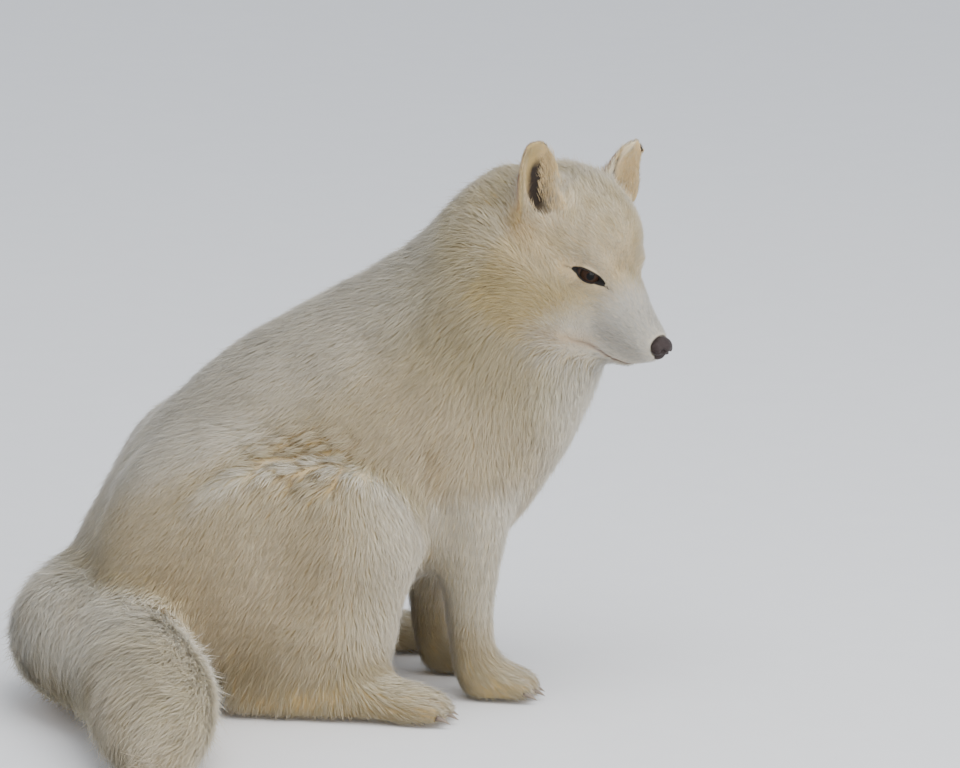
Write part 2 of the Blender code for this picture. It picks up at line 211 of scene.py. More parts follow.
class Tree:
    """A node tree being built, whose nodes take values, sockets or other nodes as inputs, in order."""

    def __init__(self, tree):
        self.tree = tree

    def add(self, kind, *inputs, **settings):
        node = self.tree.nodes.new(kind)
        for name, value in settings.items():
            setattr(node, name, value)
        self.fill([s for s in node.inputs if s.enabled], inputs)
        return node

    def fill(self, sockets, values):
        for socket, value in zip(sockets, values):
            if value is None:
                continue
            if isinstance(value, bpy.types.Node):
                value = next(s for s in value.outputs if s.enabled)
            if isinstance(value, bpy.types.NodeSocket):
                self.tree.links.new(value, socket)
            else:
                socket.default_value = value

    def math(self, operation, *inputs, clamp=False):
        return self.add("ShaderNodeMath", *inputs, operation=operation, use_clamp=clamp)

    def vector(self, operation, *inputs):
        node = self.add("ShaderNodeVectorMath", operation=operation)
        self.fill([s for s in node.inputs if s.enabled], inputs)
        return node

    def mix(self, kind, factor, a, b, blend="MIX"):
        node = self.tree.nodes.new("ShaderNodeMix")
        node.data_type = kind
        if kind == "RGBA":
            node.blend_type = blend
        self.fill([s for s in node.inputs if s.enabled], (factor, a, b))
        return node


def sockets(tree, gives, **takes):
    """Names a group's inputs, as name=(kind, value), and its outputs, as name -> kind."""
    for name, (kind, value) in takes.items():
        made = tree.interface.new_socket(name, in_out="INPUT", socket_type="NodeSocket" + kind)
        if value is not None:
            made.default_value = value
    for name, kind in gives.items():
        tree.interface.new_socket(name, in_out="OUTPUT", socket_type="NodeSocket" + kind)


def strand_tree():
    """Grows a closed, tapering strand from each root point, along the bend that its attributes give."""
    tree = bpy.data.node_groups.new("tapered_strands", "GeometryNodeTree")
    sockets(
        tree,
        {"Strands": "Geometry"},
        Roots=("Geometry", None),
        Sides=("Int", 3),
        Lengths=("Int", 3),
        Belly=("Float", 1.4),
        Patch=("Float", 0.003),
        Finish=("Material", None),
    )
    t = Tree(tree)
    given = tree.nodes.new("NodeGroupInput").outputs

    def named(name, kind="FLOAT_VECTOR"):
        return t.add("GeometryNodeInputNamedAttribute", name, data_type=kind)

    def stored(shape, name, value, kind, **where):
        return t.add("GeometryNodeStoreNamedAttribute", shape, None, name, value, data_type=kind, **where)

    cone = t.add("GeometryNodeMeshCone", given["Sides"], given["Lengths"], 1, 0.0, 1.0, 1.0, fill_type="NGON")
    spot = t.add("GeometryNodeInputPosition")
    stem = stored(cone.outputs["Mesh"], "stem", spot, "FLOAT_VECTOR")
    many = t.add("GeometryNodeInstanceOnPoints", given["Roots"], None, stem)
    real = t.add("GeometryNodeRealizeInstances", many)
    stem = named("stem")
    apart = t.add("ShaderNodeSeparateXYZ", stem)
    along = apart.outputs["Z"]
    spine = [named(k) for k in ("root", "rise", "bend", "tip")]
    while len(spine) > 1:
        spine = [t.mix("VECTOR", along, a, b) for a, b in zip(spine, spine[1:])]
    girth = t.math("MULTIPLY", t.math("MULTIPLY_ADD", along, given["Belly"], 1.0), named("girth", "FLOAT"))
    sideways = scaled(t, named("side"), apart.outputs["X"])
    upwards = scaled(t, named("crown"), apart.outputs["Y"])
    wide = t.vector("ADD", sideways, upwards)
    place = t.vector("ADD", spine[0], scaled(t, wide, girth))
    bent = t.add("GeometryNodeSetPosition", real, None, place)
    patch = t.vector("ADD", named("patch"), scaled(t, stem, given["Patch"]))
    laid = stored(bent, "OFBake", patch, "FLOAT2", domain="CORNER")
    told = stored(laid, "along", along, "FLOAT")
    smooth = t.add("GeometryNodeSetShadeSmooth", told)
    done = t.add("GeometryNodeSetMaterial", smooth, None, given["Finish"])
    tree.links.new(done.outputs[0], tree.nodes.new("NodeGroupOutput").inputs[0])
    return tree


def scaled(t, vector, factor):
    node = t.vector("SCALE", vector)
    t.fill([node.inputs["Scale"]], [factor])
    return node


STRANDS = strand_tree()
WORKING = ("stem", "root", "rise", "bend", "tip", "side", "crown", "girth", "patch", "up")


def strands(
    name, look, spine, girth, crown, flat=0.5, patch=None, sides=3, lengths=3, belly=1.4, soft=0, **facts
):
    """A mesh of strands. spine holds their four bend points, girth half their widths, crown where they face.

    flat is their thickness to their width, and soft how far they are shaded as the surface that they make.
    """
    root, rise, bend, tip = spine
    chord = unit(tip - root)
    side = unit(np.cross(chord, crown))
    over = unit(np.cross(chord, side))
    mesh = bpy.data.meshes.new(name)
    mesh.vertices.add(len(root))
    mesh.vertices.foreach_set("co", root.astype(np.float32).ravel())
    for key, values in (("root", root), ("rise", rise), ("bend", bend), ("tip", tip)):
        put(mesh, key, "FLOAT_VECTOR", values)
    put(mesh, "side", "FLOAT_VECTOR", side)
    put(mesh, "crown", "FLOAT_VECTOR", over * flat)
    put(mesh, "girth", "FLOAT", girth)
    put(mesh, "patch", "FLOAT_VECTOR", np.zeros((len(root), 3)) if patch is None else patch)
    put(mesh, "up", "FLOAT_VECTOR", crown)
    for key, values in facts.items():
        put(mesh, key, "FLOAT_COLOR" if np.ndim(values) == 2 else "FLOAT", values)
    obj = linked(name, mesh)
    modifier = obj.modifiers.new("Strands", "NODES")
    modifier.node_group = STRANDS
    given = {"Sides": sides, "Lengths": lengths, "Belly": belly, "Finish": look}
    for item in STRANDS.interface.items_tree:
        if item.item_type == "SOCKET" and item.in_out == "INPUT" and item.name in given:
            modifier[item.identifier] = given[item.name]
    mesh = baked(obj)
    if soft:  # shades the strands partly as the even surface that they make together
        own = read(mesh.vertex_normals, "vector", 3)
        shade = unit(own * (1 - soft) + read(mesh.attributes["up"].data, "vector", 3) * soft)
        mesh.normals_split_custom_set_from_vertices(shade.astype(np.float32))
    for key in WORKING:
        mesh.attributes.remove(mesh.attributes[key])
    mesh.materials.clear()
    mesh.materials.append(look)
    return obj


# ---------------------------------------------------------------- the coat's outer surface


FLESH = sorted(n for n in frame["nodes"] if not n.startswith(("eye", "nose")))
HEAD_SOLIDS = ("head", "lower_jaw", "nose", "eye_right", "eye_left")


def fused_solids():
    """The solids as one smooth shell, and each vertex's nearest solid."""
    bm = bmesh.new()
    owner, names = [], FLESH + ["eye_right", "eye_left", "nose"]
    for index, name in enumerate(names):
        part = bmesh.new()
        part.from_mesh(frame["nodes"][name].data)
        bmesh.ops.remove_doubles(part, verts=part.verts, dist=1e-6)
        part.normal_update()
        for vertex in part.verts:
            vertex.co += vertex.normal * SEAM_OVERLAP
        owner += [index] * len(part.faces)
        copy = bpy.data.meshes.new("part")
        part.to_mesh(copy)
        part.free()
        bm.from_mesh(copy)
        bpy.data.meshes.remove(copy)
    nearest = BVHTree.FromBMesh(bm)
    mesh = bpy.data.meshes.new("fox_skin")
    bm.to_mesh(mesh)
    bm.free()
    obj = linked("fox_skin", mesh)
    fuse = obj.modifiers.new("Fuse", "REMESH")
    fuse.mode = "VOXEL"
    fuse.voxel_size = SKIN_VOXEL
    baked(obj)
    keep_largest_shell(obj.data)
    points = read(obj.data.vertices, "co", 3)
    solid = np.array([owner[nearest.find_nearest(Vector(p))[2]] for p in points])
    return obj, points, np.array(names)[solid]


def keep_largest_shell(mesh):
    bm = bmesh.new()
    bm.from_mesh(mesh)
    left, shells = set(bm.verts), []
    while left:
        shell, rim = set(), [left.pop()]
        while rim:
            vertex = rim.pop()
            shell.add(vertex)
            for edge in vertex.link_edges:
                other = edge.other_vert(vertex)
                if other in left:
                    left.discard(other)
                    rim.append(other)
        shells.append(shell)
    keep = max(shells, key=len)
    bmesh.ops.delete(bm, geom=[v for v in bm.verts if v not in keep], context="VERTS")
    bm.to_mesh(mesh)
    bm.free()


# ---------------------------------------------------------------- places on the body


def relax_mask(mask, turns=14):
    return relaxed(mask.astype(float), skin_edges, turns)


EAR_BASE = np.array([-3.4, 3.75, 1.3])
EAR_AXIS = unit(np.array([-0.47, 0.27, 0.84]))
EAR_FACING = np.array([0.99, 0.1, 0.0])
EAR_FACING = unit(EAR_FACING - EAR_AXIS * (EAR_FACING @ EAR_AXIS))
EAR_ACROSS = np.cross(EAR_AXIS, EAR_FACING)


def ear_place(local, normals, side):
    """Height up the ear, distance across it and ahead of it in cm, and how squarely a vertex faces ahead."""
    mirror = np.array([1, side, 1])
    p = local * mirror - EAR_BASE
    n = turned(normals, HEAD_INV) * mirror
    return p @ EAR_AXIS, p @ EAR_ACROSS, p @ EAR_FACING, n @ EAR_FACING


def ear_slit(v):
    """Where across the ear its dark opening is, at a height up the ear."""
    return -0.1 - 0.21 * (v - 1.8)


def ear_pit(v, u, out):
    """1 inside the ear's opening, 0 beyond its rim."""
    half = (0.35 + 0.55 * ease(1.2, 2.8, v)) * (1 - 0.6 * ease(3.3, 4.7, v))
    within = ease(half + 0.45, half - 0.05, np.abs(u - 0.6 * ear_slit(v)))
    return within * ease(0.7, 1.5, v) * ease(5.0, 4.2, v) * ease(2.5, 1.8, out) * ease(-2.0, -1.4, out)


def ear_front(v, u, out):
    """1 on the head just ahead of the ear's opening, 0 away from it."""
    return bump(u, -0.5, 1.5) * bump(v, 1.6, 1.3) * ease(-0.6, 0.0, out) * ease(3.0, 2.0, out)


def almond(place):
    """How far inside the lids' opening a point is, in cm, from its place in the eye's frame."""
    _, y, z = place.T
    along = np.clip(1 - ((y + 0.02) / LID_HALF_LENGTH) ** 2, 0, 1)
    upper = 0.26 * along**0.75 * (1 + 0.12 * y) - z
    lower = z + 0.22 * along**0.9
    past = np.hypot(np.maximum(np.abs(y) - LID_HALF_LENGTH + 0.1, 0), z)
    return np.where(np.abs(y) < LID_HALF_LENGTH, np.minimum(upper, lower), -past)


def lids(points):
    """The deeper of both eyes' almond at each point, where the point is near that eye."""
    best = np.full(len(points), -9.0)
    for side in (RIGHT, LEFT):
        place = moved(points, eye_frame(side).inverted())
        near = (place[:, 0] > -1.6) & (np.abs(place[:, 1]) < 2.6) & (np.abs(place[:, 2]) < 2.2)
        best = np.where(near, np.maximum(best, almond(place)), best)
    return best


LIPS = ((5.9, -3.3), (5.55, -3.6), (4.9, -4.05), (4.3, -4.25), (3.25, -4.4), (2.3, -4.2), (1.6, -3.85))


def off_lips(local):
    """Distance from the line of the mouth, in cm, seen from the side of the head."""
    x, y, z = local.T
    p = np.stack([x, z], 1)
    best = np.full(len(p), 9.0)
    for a, b in zip(np.array(LIPS), np.array(LIPS[1:])):
        t = np.clip(((p - a) @ (b - a)) / ((b - a) @ (b - a)), 0, 1)[:, None]
        best = np.minimum(best, np.linalg.norm(p - a - t * (b - a), axis=1))
    return best


NOSE_CENTRE = np.array([5.95, 0.0, -1.9])
NOSE_RADII = np.array([0.62, 0.82, 0.7])


def off_nose(local):
    """1 on the surface of the nose pad, less inside it."""
    return np.linalg.norm((local - NOSE_CENTRE) / NOSE_RADII, axis=1)


FEET = ("forepaw_right", "forepaw_left", "hindfoot_right", "hindfoot_left")


def toes_of(foot):
    """The front end of a foot, the middle line of its toes and half their breadth, in metres."""
    low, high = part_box(foot)
    half = (high.y - low.y) / 2
    centre = (high.y + low.y) / 2
    if foot.startswith("hind"):  # the hind feet point outwards, so their toes fill the outer part of the box
        half = 2.25 * CM
        centre = low.y + half if foot.endswith("right") else high.y - half
    return high.x, centre, half


def toe_gaps(points):
    """1 in the grooves between the toes, 0 away from them."""
    gaps = np.zeros(len(points))
    for foot in FEET:
        tip, centre, half = toes_of(foot)
        lateral = (points[:, 1] - centre) / half
        between = sum(bump(lateral, k, 0.12) for k in (-0.5, 0.0, 0.5))
        gaps += between * ease(3.8 * CM, 1.6 * CM, tip - points[:, 0]) * (part == foot)
    return gaps


def rump(points):
    """1 on the back of the haunches and the trunk between them, above the tail."""
    x, _, z = (points / CM).T
    return ease(-7.5, -10.0, x) * ease(8.5, 10.5, z) * (1 - relax_mask(starts(part, "tail"), 6))


def haunch_edge(points):
    """The rounded upper edge of the haunches, and the trunk just beyond it, each 1 in its middle."""
    thigh = relax_mask(starts(part, "thigh"), 60)
    x, _, z = (points / CM).T
    upper = ease(8, 12, z) * ease(-11, -6, x)
    return bump(thigh, 0.66, 0.17) * upper, bump(thigh, 0.24, 0.15) * upper


def elbow_crease(points):
    """1 along the fold behind each elbow, between the foreleg and the trunk."""
    x, _, z = (points / CM).T
    on_side = relax_mask(np.isin(part, ("trunk", "foreleg_right", "foreleg_left")), 4)
    return bump(x, 6.6 - 0.1 * (z - 15), 0.55) * ease(20, 17, z) * ease(10.5, 12.5, z) * on_side


def crimp_zone():
    """1 where the coat over the haunch lies in short crimped locks, 0 away from it."""
    zone = np.zeros(len(points))
    for word, side in (("right", 0), ("left", 1)):
        low, high = (np.array(c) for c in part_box("thigh_" + word))
        spot = np.array([low[0] + 0.60 * (high[0] - low[0]), (low, high)[side][1], high[2] + 0.6 * CM])
        zone += np.exp(-((((points - spot) / (np.array((4.6, 4.5, 2.4)) * CM)) ** 2).sum(1)) ** 2)
    return zone


# ---------------------------------------------------------------- how the coat grows from place to place


# Coat by solid: depth, length and half width of the tufts in mm, roots to a square cm, how much they draw
# into locks, and how far their tips lift in mm
COAT = {
    "head": (4, 12, 0.4, 45, 0.12, 1.0),
    "lower_jaw": (1.3, 5, 0.25, 60, 0.1, 0.4),
    "nose": (0.8, 3, 0.2, 60, 0.1, 0.2),
    "eye": (1.6, 5, 0.24, 60, 0.1, 0.3),
    "ear": (0.8, 6, 0.24, 70, 0.12, 0.5),
    "neck": (5, 17, 0.5, 40, 0.16, 2.0),
    "trunk": (3.8, 15, 0.5, 38, 0.14, 1.7),
    "thigh": (3.8, 15, 0.5, 38, 0.14, 1.6),
    "foreleg": (3, 10, 0.4, 46, 0.3, 1.4),
    "forepaw": (2.2, 10, 0.36, 46, 0.3, 1.8),
    "hindfoot": (2.6, 12, 0.38, 42, 0.3, 2.0),
    "tail": (6, 30, 0.5, 40, 0.3, 3.6),
}

TAIL_PARTING = (4.5, 4.5)  # how far from the tail's middle line its coat parts, in cm
# The tail's centre line seen from above, as shares of the tail's own box
TAIL_LINE = (
    (0.71, 0.924), (0.465, 0.895), (0.317, 0.795), (0.36, 0.667), (0.542, 0.541),
    (0.662, 0.398), (0.718, 0.246), (0.739, 0.111), (0.754, -0.05),
)


def tail_points():
    boxes = [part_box(n) for n in ("tail_root", "tail_middle", "tail_tip")]
    low = np.min([b[0] for b in boxes], 0)
    high = np.max([b[1] for b in boxes], 0)
    return low[:2] + (high - low)[:2] * np.array(TAIL_LINE)


def tail_heading(points):
    """The way to the tail's tip at each point, and how far to the side of the tail's middle line it is."""
    line = tail_points()
    steps = column(np.linspace(0, 1, 12, endpoint=False))
    fine = np.concatenate([a + (b - a) * steps for a, b in zip(line, line[1:])])
    fine = relaxed_line(fine, 12)
    ways = unit(np.gradient(fine, axis=0))
    near = np.argmin(((points[:, None, :2] - fine[None]) ** 2).sum(-1), 1)
    off = points[:, :2] - fine[near] - np.array(TAIL_PARTING) * CM
    off -= ways[near] * dot(off, ways[near])
    level = np.zeros((len(points), 1))
    return np.concatenate([ways[near], level], 1), np.concatenate([off, level], 1)


def relaxed_line(points, turns):
    out = points.copy()
    for _ in range(turns):
        out[1:-1] = (out[:-2] + 2 * out[1:-1] + out[2:]) / 4
    return out


def coat_numbers(points, part, local):
    """Depth, length, half width, crowd, lock pull and lift at each vertex, in metres."""
    kind = np.array([p.split("_")[0] if p != "lower_jaw" else p for p in part])
    numbers = np.array([COAT[k] for k in kind], float)
    x, y, z = local.T
    face = np.isin(kind, ("head", "eye", "nose"))
    back = ease(2.0, -6.5, x)
    top = ease(-0.5, 2.0, z)
    numbers[face, 0] = (1.2 + 4 * back * (1 - 0.4 * top))[face]
    numbers[face, 1] = (4.5 + 13 * back * (1 - 0.4 * top))[face]
    numbers[face, 2] = (0.24 + 0.26 * back)[face]
    numbers[face, 3] = (110 - 70 * back)[face]
    numbers[face, 4] = (0.1 + 0.12 * back)[face]
    numbers[face, 5] = (0.8 + 1.9 * back)[face]
    return numbers * (MM, MM, MM, 1e4, 1, MM)


def coat_lie(points, part, local):
    """Which way the coat lies, before it is laid along the surface."""
    x, y, z = local.T
    out = np.zeros((len(points), 3))
    side = np.sign(y)
    # head, in its own frame: back from the nose, down the cheeks, up over the crown
    cheek = ease(0.5, -2.5, z) * ease(1.0, -3.0, x)
    ahead = np.stack([-1 + 0.25 * cheek, side * (0.15 + 0.35 * cheek), 0.1 - 0.8 * cheek], 1)
    head = turned(ahead, HEAD)
    is_head = np.isin(part, HEAD_SOLIDS)
    out[is_head] = head[is_head]
    for word, s in (("right", RIGHT), ("left", LEFT)):
        ear = part == "ear_" + word
        out[ear] = turned([(-0.47, s * 0.27, 0.84)], HEAD)
    # neck: away from the head, and down
    centre = np.array(HEAD @ Vector((-2.5, 0, -1)))
    neck = unit(points - centre) * 0.7 + np.array([-0.35, 0, -0.75])
    out[part == "neck"] = neck[part == "neck"]
    chest = ease(5, 12, points[:, 0] / CM)[:, None]
    trunk = (1 - chest) * np.array([-0.62, 0, -0.72]) + chest * np.array([0.05, 0, -1])
    out[part == "trunk"] = trunk[part == "trunk"]
    knee = ease(-3, 4, points[:, 0] / CM)[:, None]
    thigh = (1 - knee) * np.array([-0.6, 0, -0.8]) + knee * np.array([0.35, 0, -1])
    is_thigh = starts(part, "thigh")
    out[is_thigh] = thigh[is_thigh]
    out[starts(part, "foreleg")] = (-0.12, 0, -1)
    out[starts(part, "forepaw")] = (0.7, 0, -0.7)
    toes = ease(-1, 4, points[:, 0] / CM)[:, None]
    hind = toes * np.array([1, 0, -0.3]) + (1 - toes) * np.array([-0.2, 0, -1])
    is_hind = starts(part, "hindfoot")
    out[is_hind] = hind[is_hind]
    is_tail = starts(part, "tail")
    heading, off = tail_heading(points[is_tail])
    off = off / (np.linalg.norm(off, axis=1, keepdims=True) + 3 * CM)
    down = np.array([0, 0, -0.5]) * np.linalg.norm(off, axis=1, keepdims=True)
    out[is_tail] = heading * 0.7 + off * 0.9 + down
    return unit(out)


def walked(points, normals, lie, length, tree, faces, steps=3):
    """Where one comes to by following the lie of the coat over the surface, at each step."""
    here, heading, stops = points.copy(), lie.copy(), []
    for _ in range(steps):
        target = here + heading * column(length / steps)
        found = [tree.find_nearest(Vector(p)) for p in target]
        here = np.array([f[0] for f in found])
        corner = faces[[f[2] for f in found], 0]
        heading = unit(lie[corner] - normals[corner] * dot(lie[corner], normals[corner]))
        stops.append(here - points)
    return stops


# ---------------------------------------------------------------- colours of the coat


CREAM = (0.65, 0.48, 0.255)
PALE = (0.86, 0.73, 0.49)
YELLOWED = (0.42, 0.315, 0.14)
# the next grey paints cool skylight on upward faces and cool shade over the muzzle, and also lies on the
# crown and round the eyes
COOL_GREY = (0.54, 0.51, 0.45)
OCHRE = (0.40, 0.25, 0.095)
EAR_TAN = (0.44, 0.29, 0.15)
EAR_RIM = (0.24, 0.13, 0.075)
# the next colour is painted shade, laid deep in each ear's opening
EAR_OPENING_SHADE = (0.025, 0.018, 0.014)
LID_BLACK = (0.012, 0.010, 0.009)
LIP = (0.16, 0.10, 0.08)


# Each of the next four functions lays its colours over what is there, in order, each by its share at a vertex


def tint_body(lay, points, normals, local, cloud):
    """The trunk and neck: painted paler and cooler where they face up, as lit from above, yellowed round the
    ruff, pale at the breast.
    """
    x, _, z = local.T
    ahead, _, height = (points / CM).T
    upward = normals[:, 2]
    off_head = 1 - relax_mask(np.isin(part, HEAD_SOLIDS))
    lay(YELLOWED, 0.12 + 0.30 * cloud[:, 0])
    # painted light: paler where the coat faces up, as lit from above
    lay(PALE, 0.35 * ease(0.15, 0.85, upward) * off_head)
    ruff = bump(x, -7.0, 3.2) * bump(z, -3.5, 5.0) * relax_mask(np.isin(part, ("head", "lower_jaw", "neck")))
    lay(YELLOWED, 0.95 * ruff)
    neck = relax_mask(starts(part, "neck"), 150) * ease(0.75, 0.15, upward)
    lay(YELLOWED, neck * (0.9 + 0.5 * cloud[:, 1]))
    lay(YELLOWED, 0.35 * neck)
    # painted skylight: paler and cooler grey where the back faces up
    back = ease(0.3, 0.75, upward) * off_head * (1 - relax_mask(starts(part, "tail")))
    lay(COOL_GREY, 0.35 * back)
    lay(PALE, 0.35 * back)
    thigh_front = relax_mask(starts(part, "thigh")) * ease(-0.5, 4.5, ahead) * ease(2, 6, height)
    lay(PALE, 0.65 * thigh_front)
    breast = ease(12.0, 16.0, ahead) * off_head * ease(25, 20, height)
    lay(PALE, 0.95 * breast)
    # painted highlight along the haunches' raised edge, and painted shade in the dip just beyond it
    raised, beyond = haunch_edge(points)
    lay(PALE, 0.8 * raised)
    lay(YELLOWED, 0.55 * beyond)
    # painted shade in the fold behind each elbow
    lay(OCHRE, 0.45 * elbow_crease(points))


def tint_limbs(lay, points, normals, cloud):
    """The legs, tail and feet: pale higher up, the tail painted paler where it faces up, yellowed and stained
    towards the ground, with painted shade between the toes.
    """
    ahead, lateral, height = (points / CM).T
    upward = normals[:, 2]
    words = ("thigh", "foreleg", "tail", "hindfoot")
    thigh, foreleg, tail, hindfoot = (relax_mask(starts(part, word)) for word in words)
    lay(PALE, 0.9 * foreleg * ease(3, 7, height))
    lay(YELLOWED, 0.3 * foreleg * ease(14, 6, height) * (1 + cloud[:, 2]))
    lay(OCHRE, 0.12 * relax_mask(part == "foreleg_left") * ease(12, 5, height))
    lay(YELLOWED, 0.15 * thigh * ease(9, 4, height) * ease(4, -1, ahead))
    lay(OCHRE, 0.3 * thigh * ease(0.1, 0.35, cloud[:, 0]) * ease(12, 8, height))
    # painted light: the tail paler where it faces up
    lay(PALE, tail * ease(-0.2, 0.4, upward) * ease(-9, -4, lateral))
    lay(YELLOWED, tail * (0.2 + 0.4 * cloud[:, 2]) * ease(0, -5, lateral))
    lay(OCHRE, 0.35 * tail * ease(0.15, 0.45, wander(points, 0.018, 12)[:, 0]))
    lay(YELLOWED, 0.7 * relax_mask(starts(part, "hindfoot") | starts(part, "forepaw"), 30))
    lay(OCHRE, 0.2 * hindfoot * ease(2.6, 0.8, height) * (1 + 1.5 * cloud[:, 0]))
    lay(YELLOWED, 0.4 * hindfoot * ease(0.3, 0.8, upward) * ease(-1, 2, ahead))
    # painted shade in the grooves between the toes
    lay(OCHRE, 0.6 * toe_gaps(points))
    lay(OCHRE, 0.3 * foreleg * ease(7, 3, height))


def tint_head(lay, points, local, cloud):
    """The head: pale crown with yellowish streaks, yellowed cheeks, painted cool shade over the muzzle and
    stained lips.
    """
    x, y, z = local.T
    head = relax_mask(np.isin(part, HEAD_SOLIDS))
    lay(PALE, head * ease(-6.0, -3.0, x) * ease(-1.5, 1.5, z) * (0.2 + 0.4 * cloud[:, 0]))
    lay(COOL_GREY, 0.3 * head * ease(-6.0, -3.0, x) * ease(0.3, 1.8, z))
    streaks = 0.9 * np.abs(wander(points, 0.012, 6)[:, 0]) * ease(-1, 1, z)
    stripe = 0.4 * bump(y, 0.2, 0.8) * ease(-5, -2, x) * ease(4.5, 3.0, x)  # down the forehead
    lay(YELLOWED, head * (stripe + streaks))
    by_eyes = bump(x, 0.5, 1.8) * bump(z, -0.2, 1.2) * ease(1.2, 2.0, np.abs(y))
    lay(COOL_GREY, 0.6 * head * by_eyes)
    cheeks = ease(-7, -2, x) * ease(0.8, -2.0, z) * ease(3.5, 1.0, x)
    lay(YELLOWED, 0.95 * head * cheeks)
    # painted cool shade over the muzzle
    muzzle = ease(0.8, 3.4, x - 0.35 * z)
    lay(COOL_GREY, 0.95 * head * muzzle)
    mouth_corner = bump(x, 1.6, 1.0) * bump(z, -3.95, 0.5)
    lay(OCHRE, 0.5 * head * mouth_corner)


def tint_ears(lay, local, normals):
    """The ears: tan outer halves, brown rims, painted shade deep in the opening, and a stain behind each."""
    for word, side in (("right", RIGHT), ("left", LEFT)):
        ear = (part == "ear_" + word).astype(float)
        v, u, out, front = ear_place(local, normals, side)
        on_right = side == RIGHT
        outer = ease(-1.0, 0.6, u) if on_right else ease(0.5, 1.5, u)
        lay(EAR_TAN, 0.9 * ear * ease(1.1, 0.35, np.abs(front)) * ease(0.6, 2.0, v) * outer)
        if on_right:
            lay(YELLOWED, 0.75 * ear * ease(0.3, 0.8, front) * ease(-0.4, 0.4, u - ear_slit(v)))
        rim = np.maximum(ease(0.3, 1.0, -side * u), ease(4.0, 4.9, v)) * ease(1.6, 2.8, v)
        rim *= bump(front, -0.5, 0.6) * (1 if on_right else ease(0.5, -0.1, u))
        lay(EAR_RIM, np.minimum(1.2 * relaxed(ear * rim, skin_edges, 1), 0.9))
        if not on_right:
            lay(PALE, 0.8 * ear * ease(0.2, 0.6, front) * ease(0.7, -0.1, u))
        # painted shade: near black deep in the ear's opening
        slit = bump(u, ear_slit(v), 0.72 - 0.12 * (v - 1.8)) * ease(4.5, 3.6, v)
        lay(EAR_OPENING_SHADE, np.minimum(1.6 * ear_pit(v, u, out) * slit, 1) * ease(0.0, 0.3, front))
        behind = (local - np.array([-3.8, side * 5.3, 0.8])) / (1.3, 1.0, 1.2)
        lay(OCHRE, 0.75 * np.exp(-(behind**2).sum(1)))


def coat_tint(points, normals, local):
    """The coat's colour at each vertex, which skin and tufts share."""
    tint = np.tile(CREAM, (len(points), 1))

    def lay(color, share):
        share = column(np.clip(share, 0, 1))
        tint[:] = tint * (1 - share) + np.array(color) * share

    cloud = wander(points, 0.07, 3)
    tint_body(lay, points, normals, local, cloud)
    tint_limbs(lay, points, normals, cloud)
    tint_head(lay, points, local, cloud)
    tint_ears(lay, local, normals)
    return np.clip(tint, 0, 1)


def shaped(points, normals):
    """Opens and cups the ears, parts the toes, fills out the rump and rounds the haunches' edge."""
    local = moved(points, HEAD_INV)
    for side in (RIGHT, LEFT):
        v, u, out, front = ear_place(local, normals, side)
        floor = -0.76 + 0.66 * ease(3.4, 5.2, v) - 0.12 * bump(u, ear_slit(v), 0.5) * ease(4.0, 3.2, v)
        deep = np.clip(out - floor, 0, 0.2 + 1.4 * ease(3.0, 2.2, v))
        sink = ear_pit(v, u, out) * deep * ease(-0.1, 0.35, front)
        mirror = np.array([1, side, 1])
        local = local - column(sink) * EAR_FACING * mirror
        on_ear = relax_mask(part == ("ear_right" if side == RIGHT else "ear_left"), 3)
        cup = 0.5 * ease(0.2, 1.4, u) * ease(0.8, 2.4, v) * on_ear
        taller = 0.3 * ease(3.0, 5.0, v) * on_ear
        if side == LEFT:  # this ear's tip leans ahead and is rounder on its outer side
            cup = cup * (1 - 0.3 * ease(3.2, 4.4, v)) + 0.25 * ease(3.6, 5.2, v) * on_ear
            taller = 0.45 * ease(2.8, 4.4, v) * ease(-0.2, 0.7, u) * on_ear
        local = local + (column(cup) * EAR_FACING + column(taller) * EAR_AXIS) * mirror
    points = moved(local, HEAD)
    raised, beyond = haunch_edge(points)
    behind = rump(points) * ease(21 * CM, 15 * CM, points[:, 2]) * ease(-0.1, -0.5, normals[:, 0])
    outward = 2.2 * raised - 2.0 * beyond + 4 * behind - 2.2 * elbow_crease(points) - 3.8 * toe_gaps(points)
    return points + normals * column(outward * MM)


# ---------------------------------------------------------------- the skin and the lie of its coat


skin, points, part = fused_solids()
mesh = skin.data
skin_edges = np.array([e.vertices for e in mesh.edges])
local = moved(points, HEAD_INV)
kept_form = np.isin(part, (*HEAD_SOLIDS, "ear_right", "ear_left"))
firm = relaxed((kept_form & (local[:, 0] > -7)).astype(float), skin_edges, 4)
feet = starts(part, "forepaw") | starts(part, "hindfoot")
firm = np.clip(firm + 0.7 * relaxed(feet.astype(float), skin_edges, 4), 0, 1)
points = relaxed(points, skin_edges, 6, 0.5)
points = relaxed(points, skin_edges, 24, 0.5 * column(1 - firm))
points = relaxed(points, skin_edges, 120, 0.5 * column(rump(points)))
points[:, 2] = np.maximum(points[:, 2], 0)
mesh.vertices.foreach_set("co", points.astype(np.float32).ravel())
mesh.update()
points = shaped(points, read(mesh.vertex_normals, "vector", 3))
mesh.vertices.foreach_set("co", points.astype(np.float32).ravel())
mesh.update()
normals = read(mesh.vertex_normals, "vector", 3)
local = moved(points, HEAD_INV)

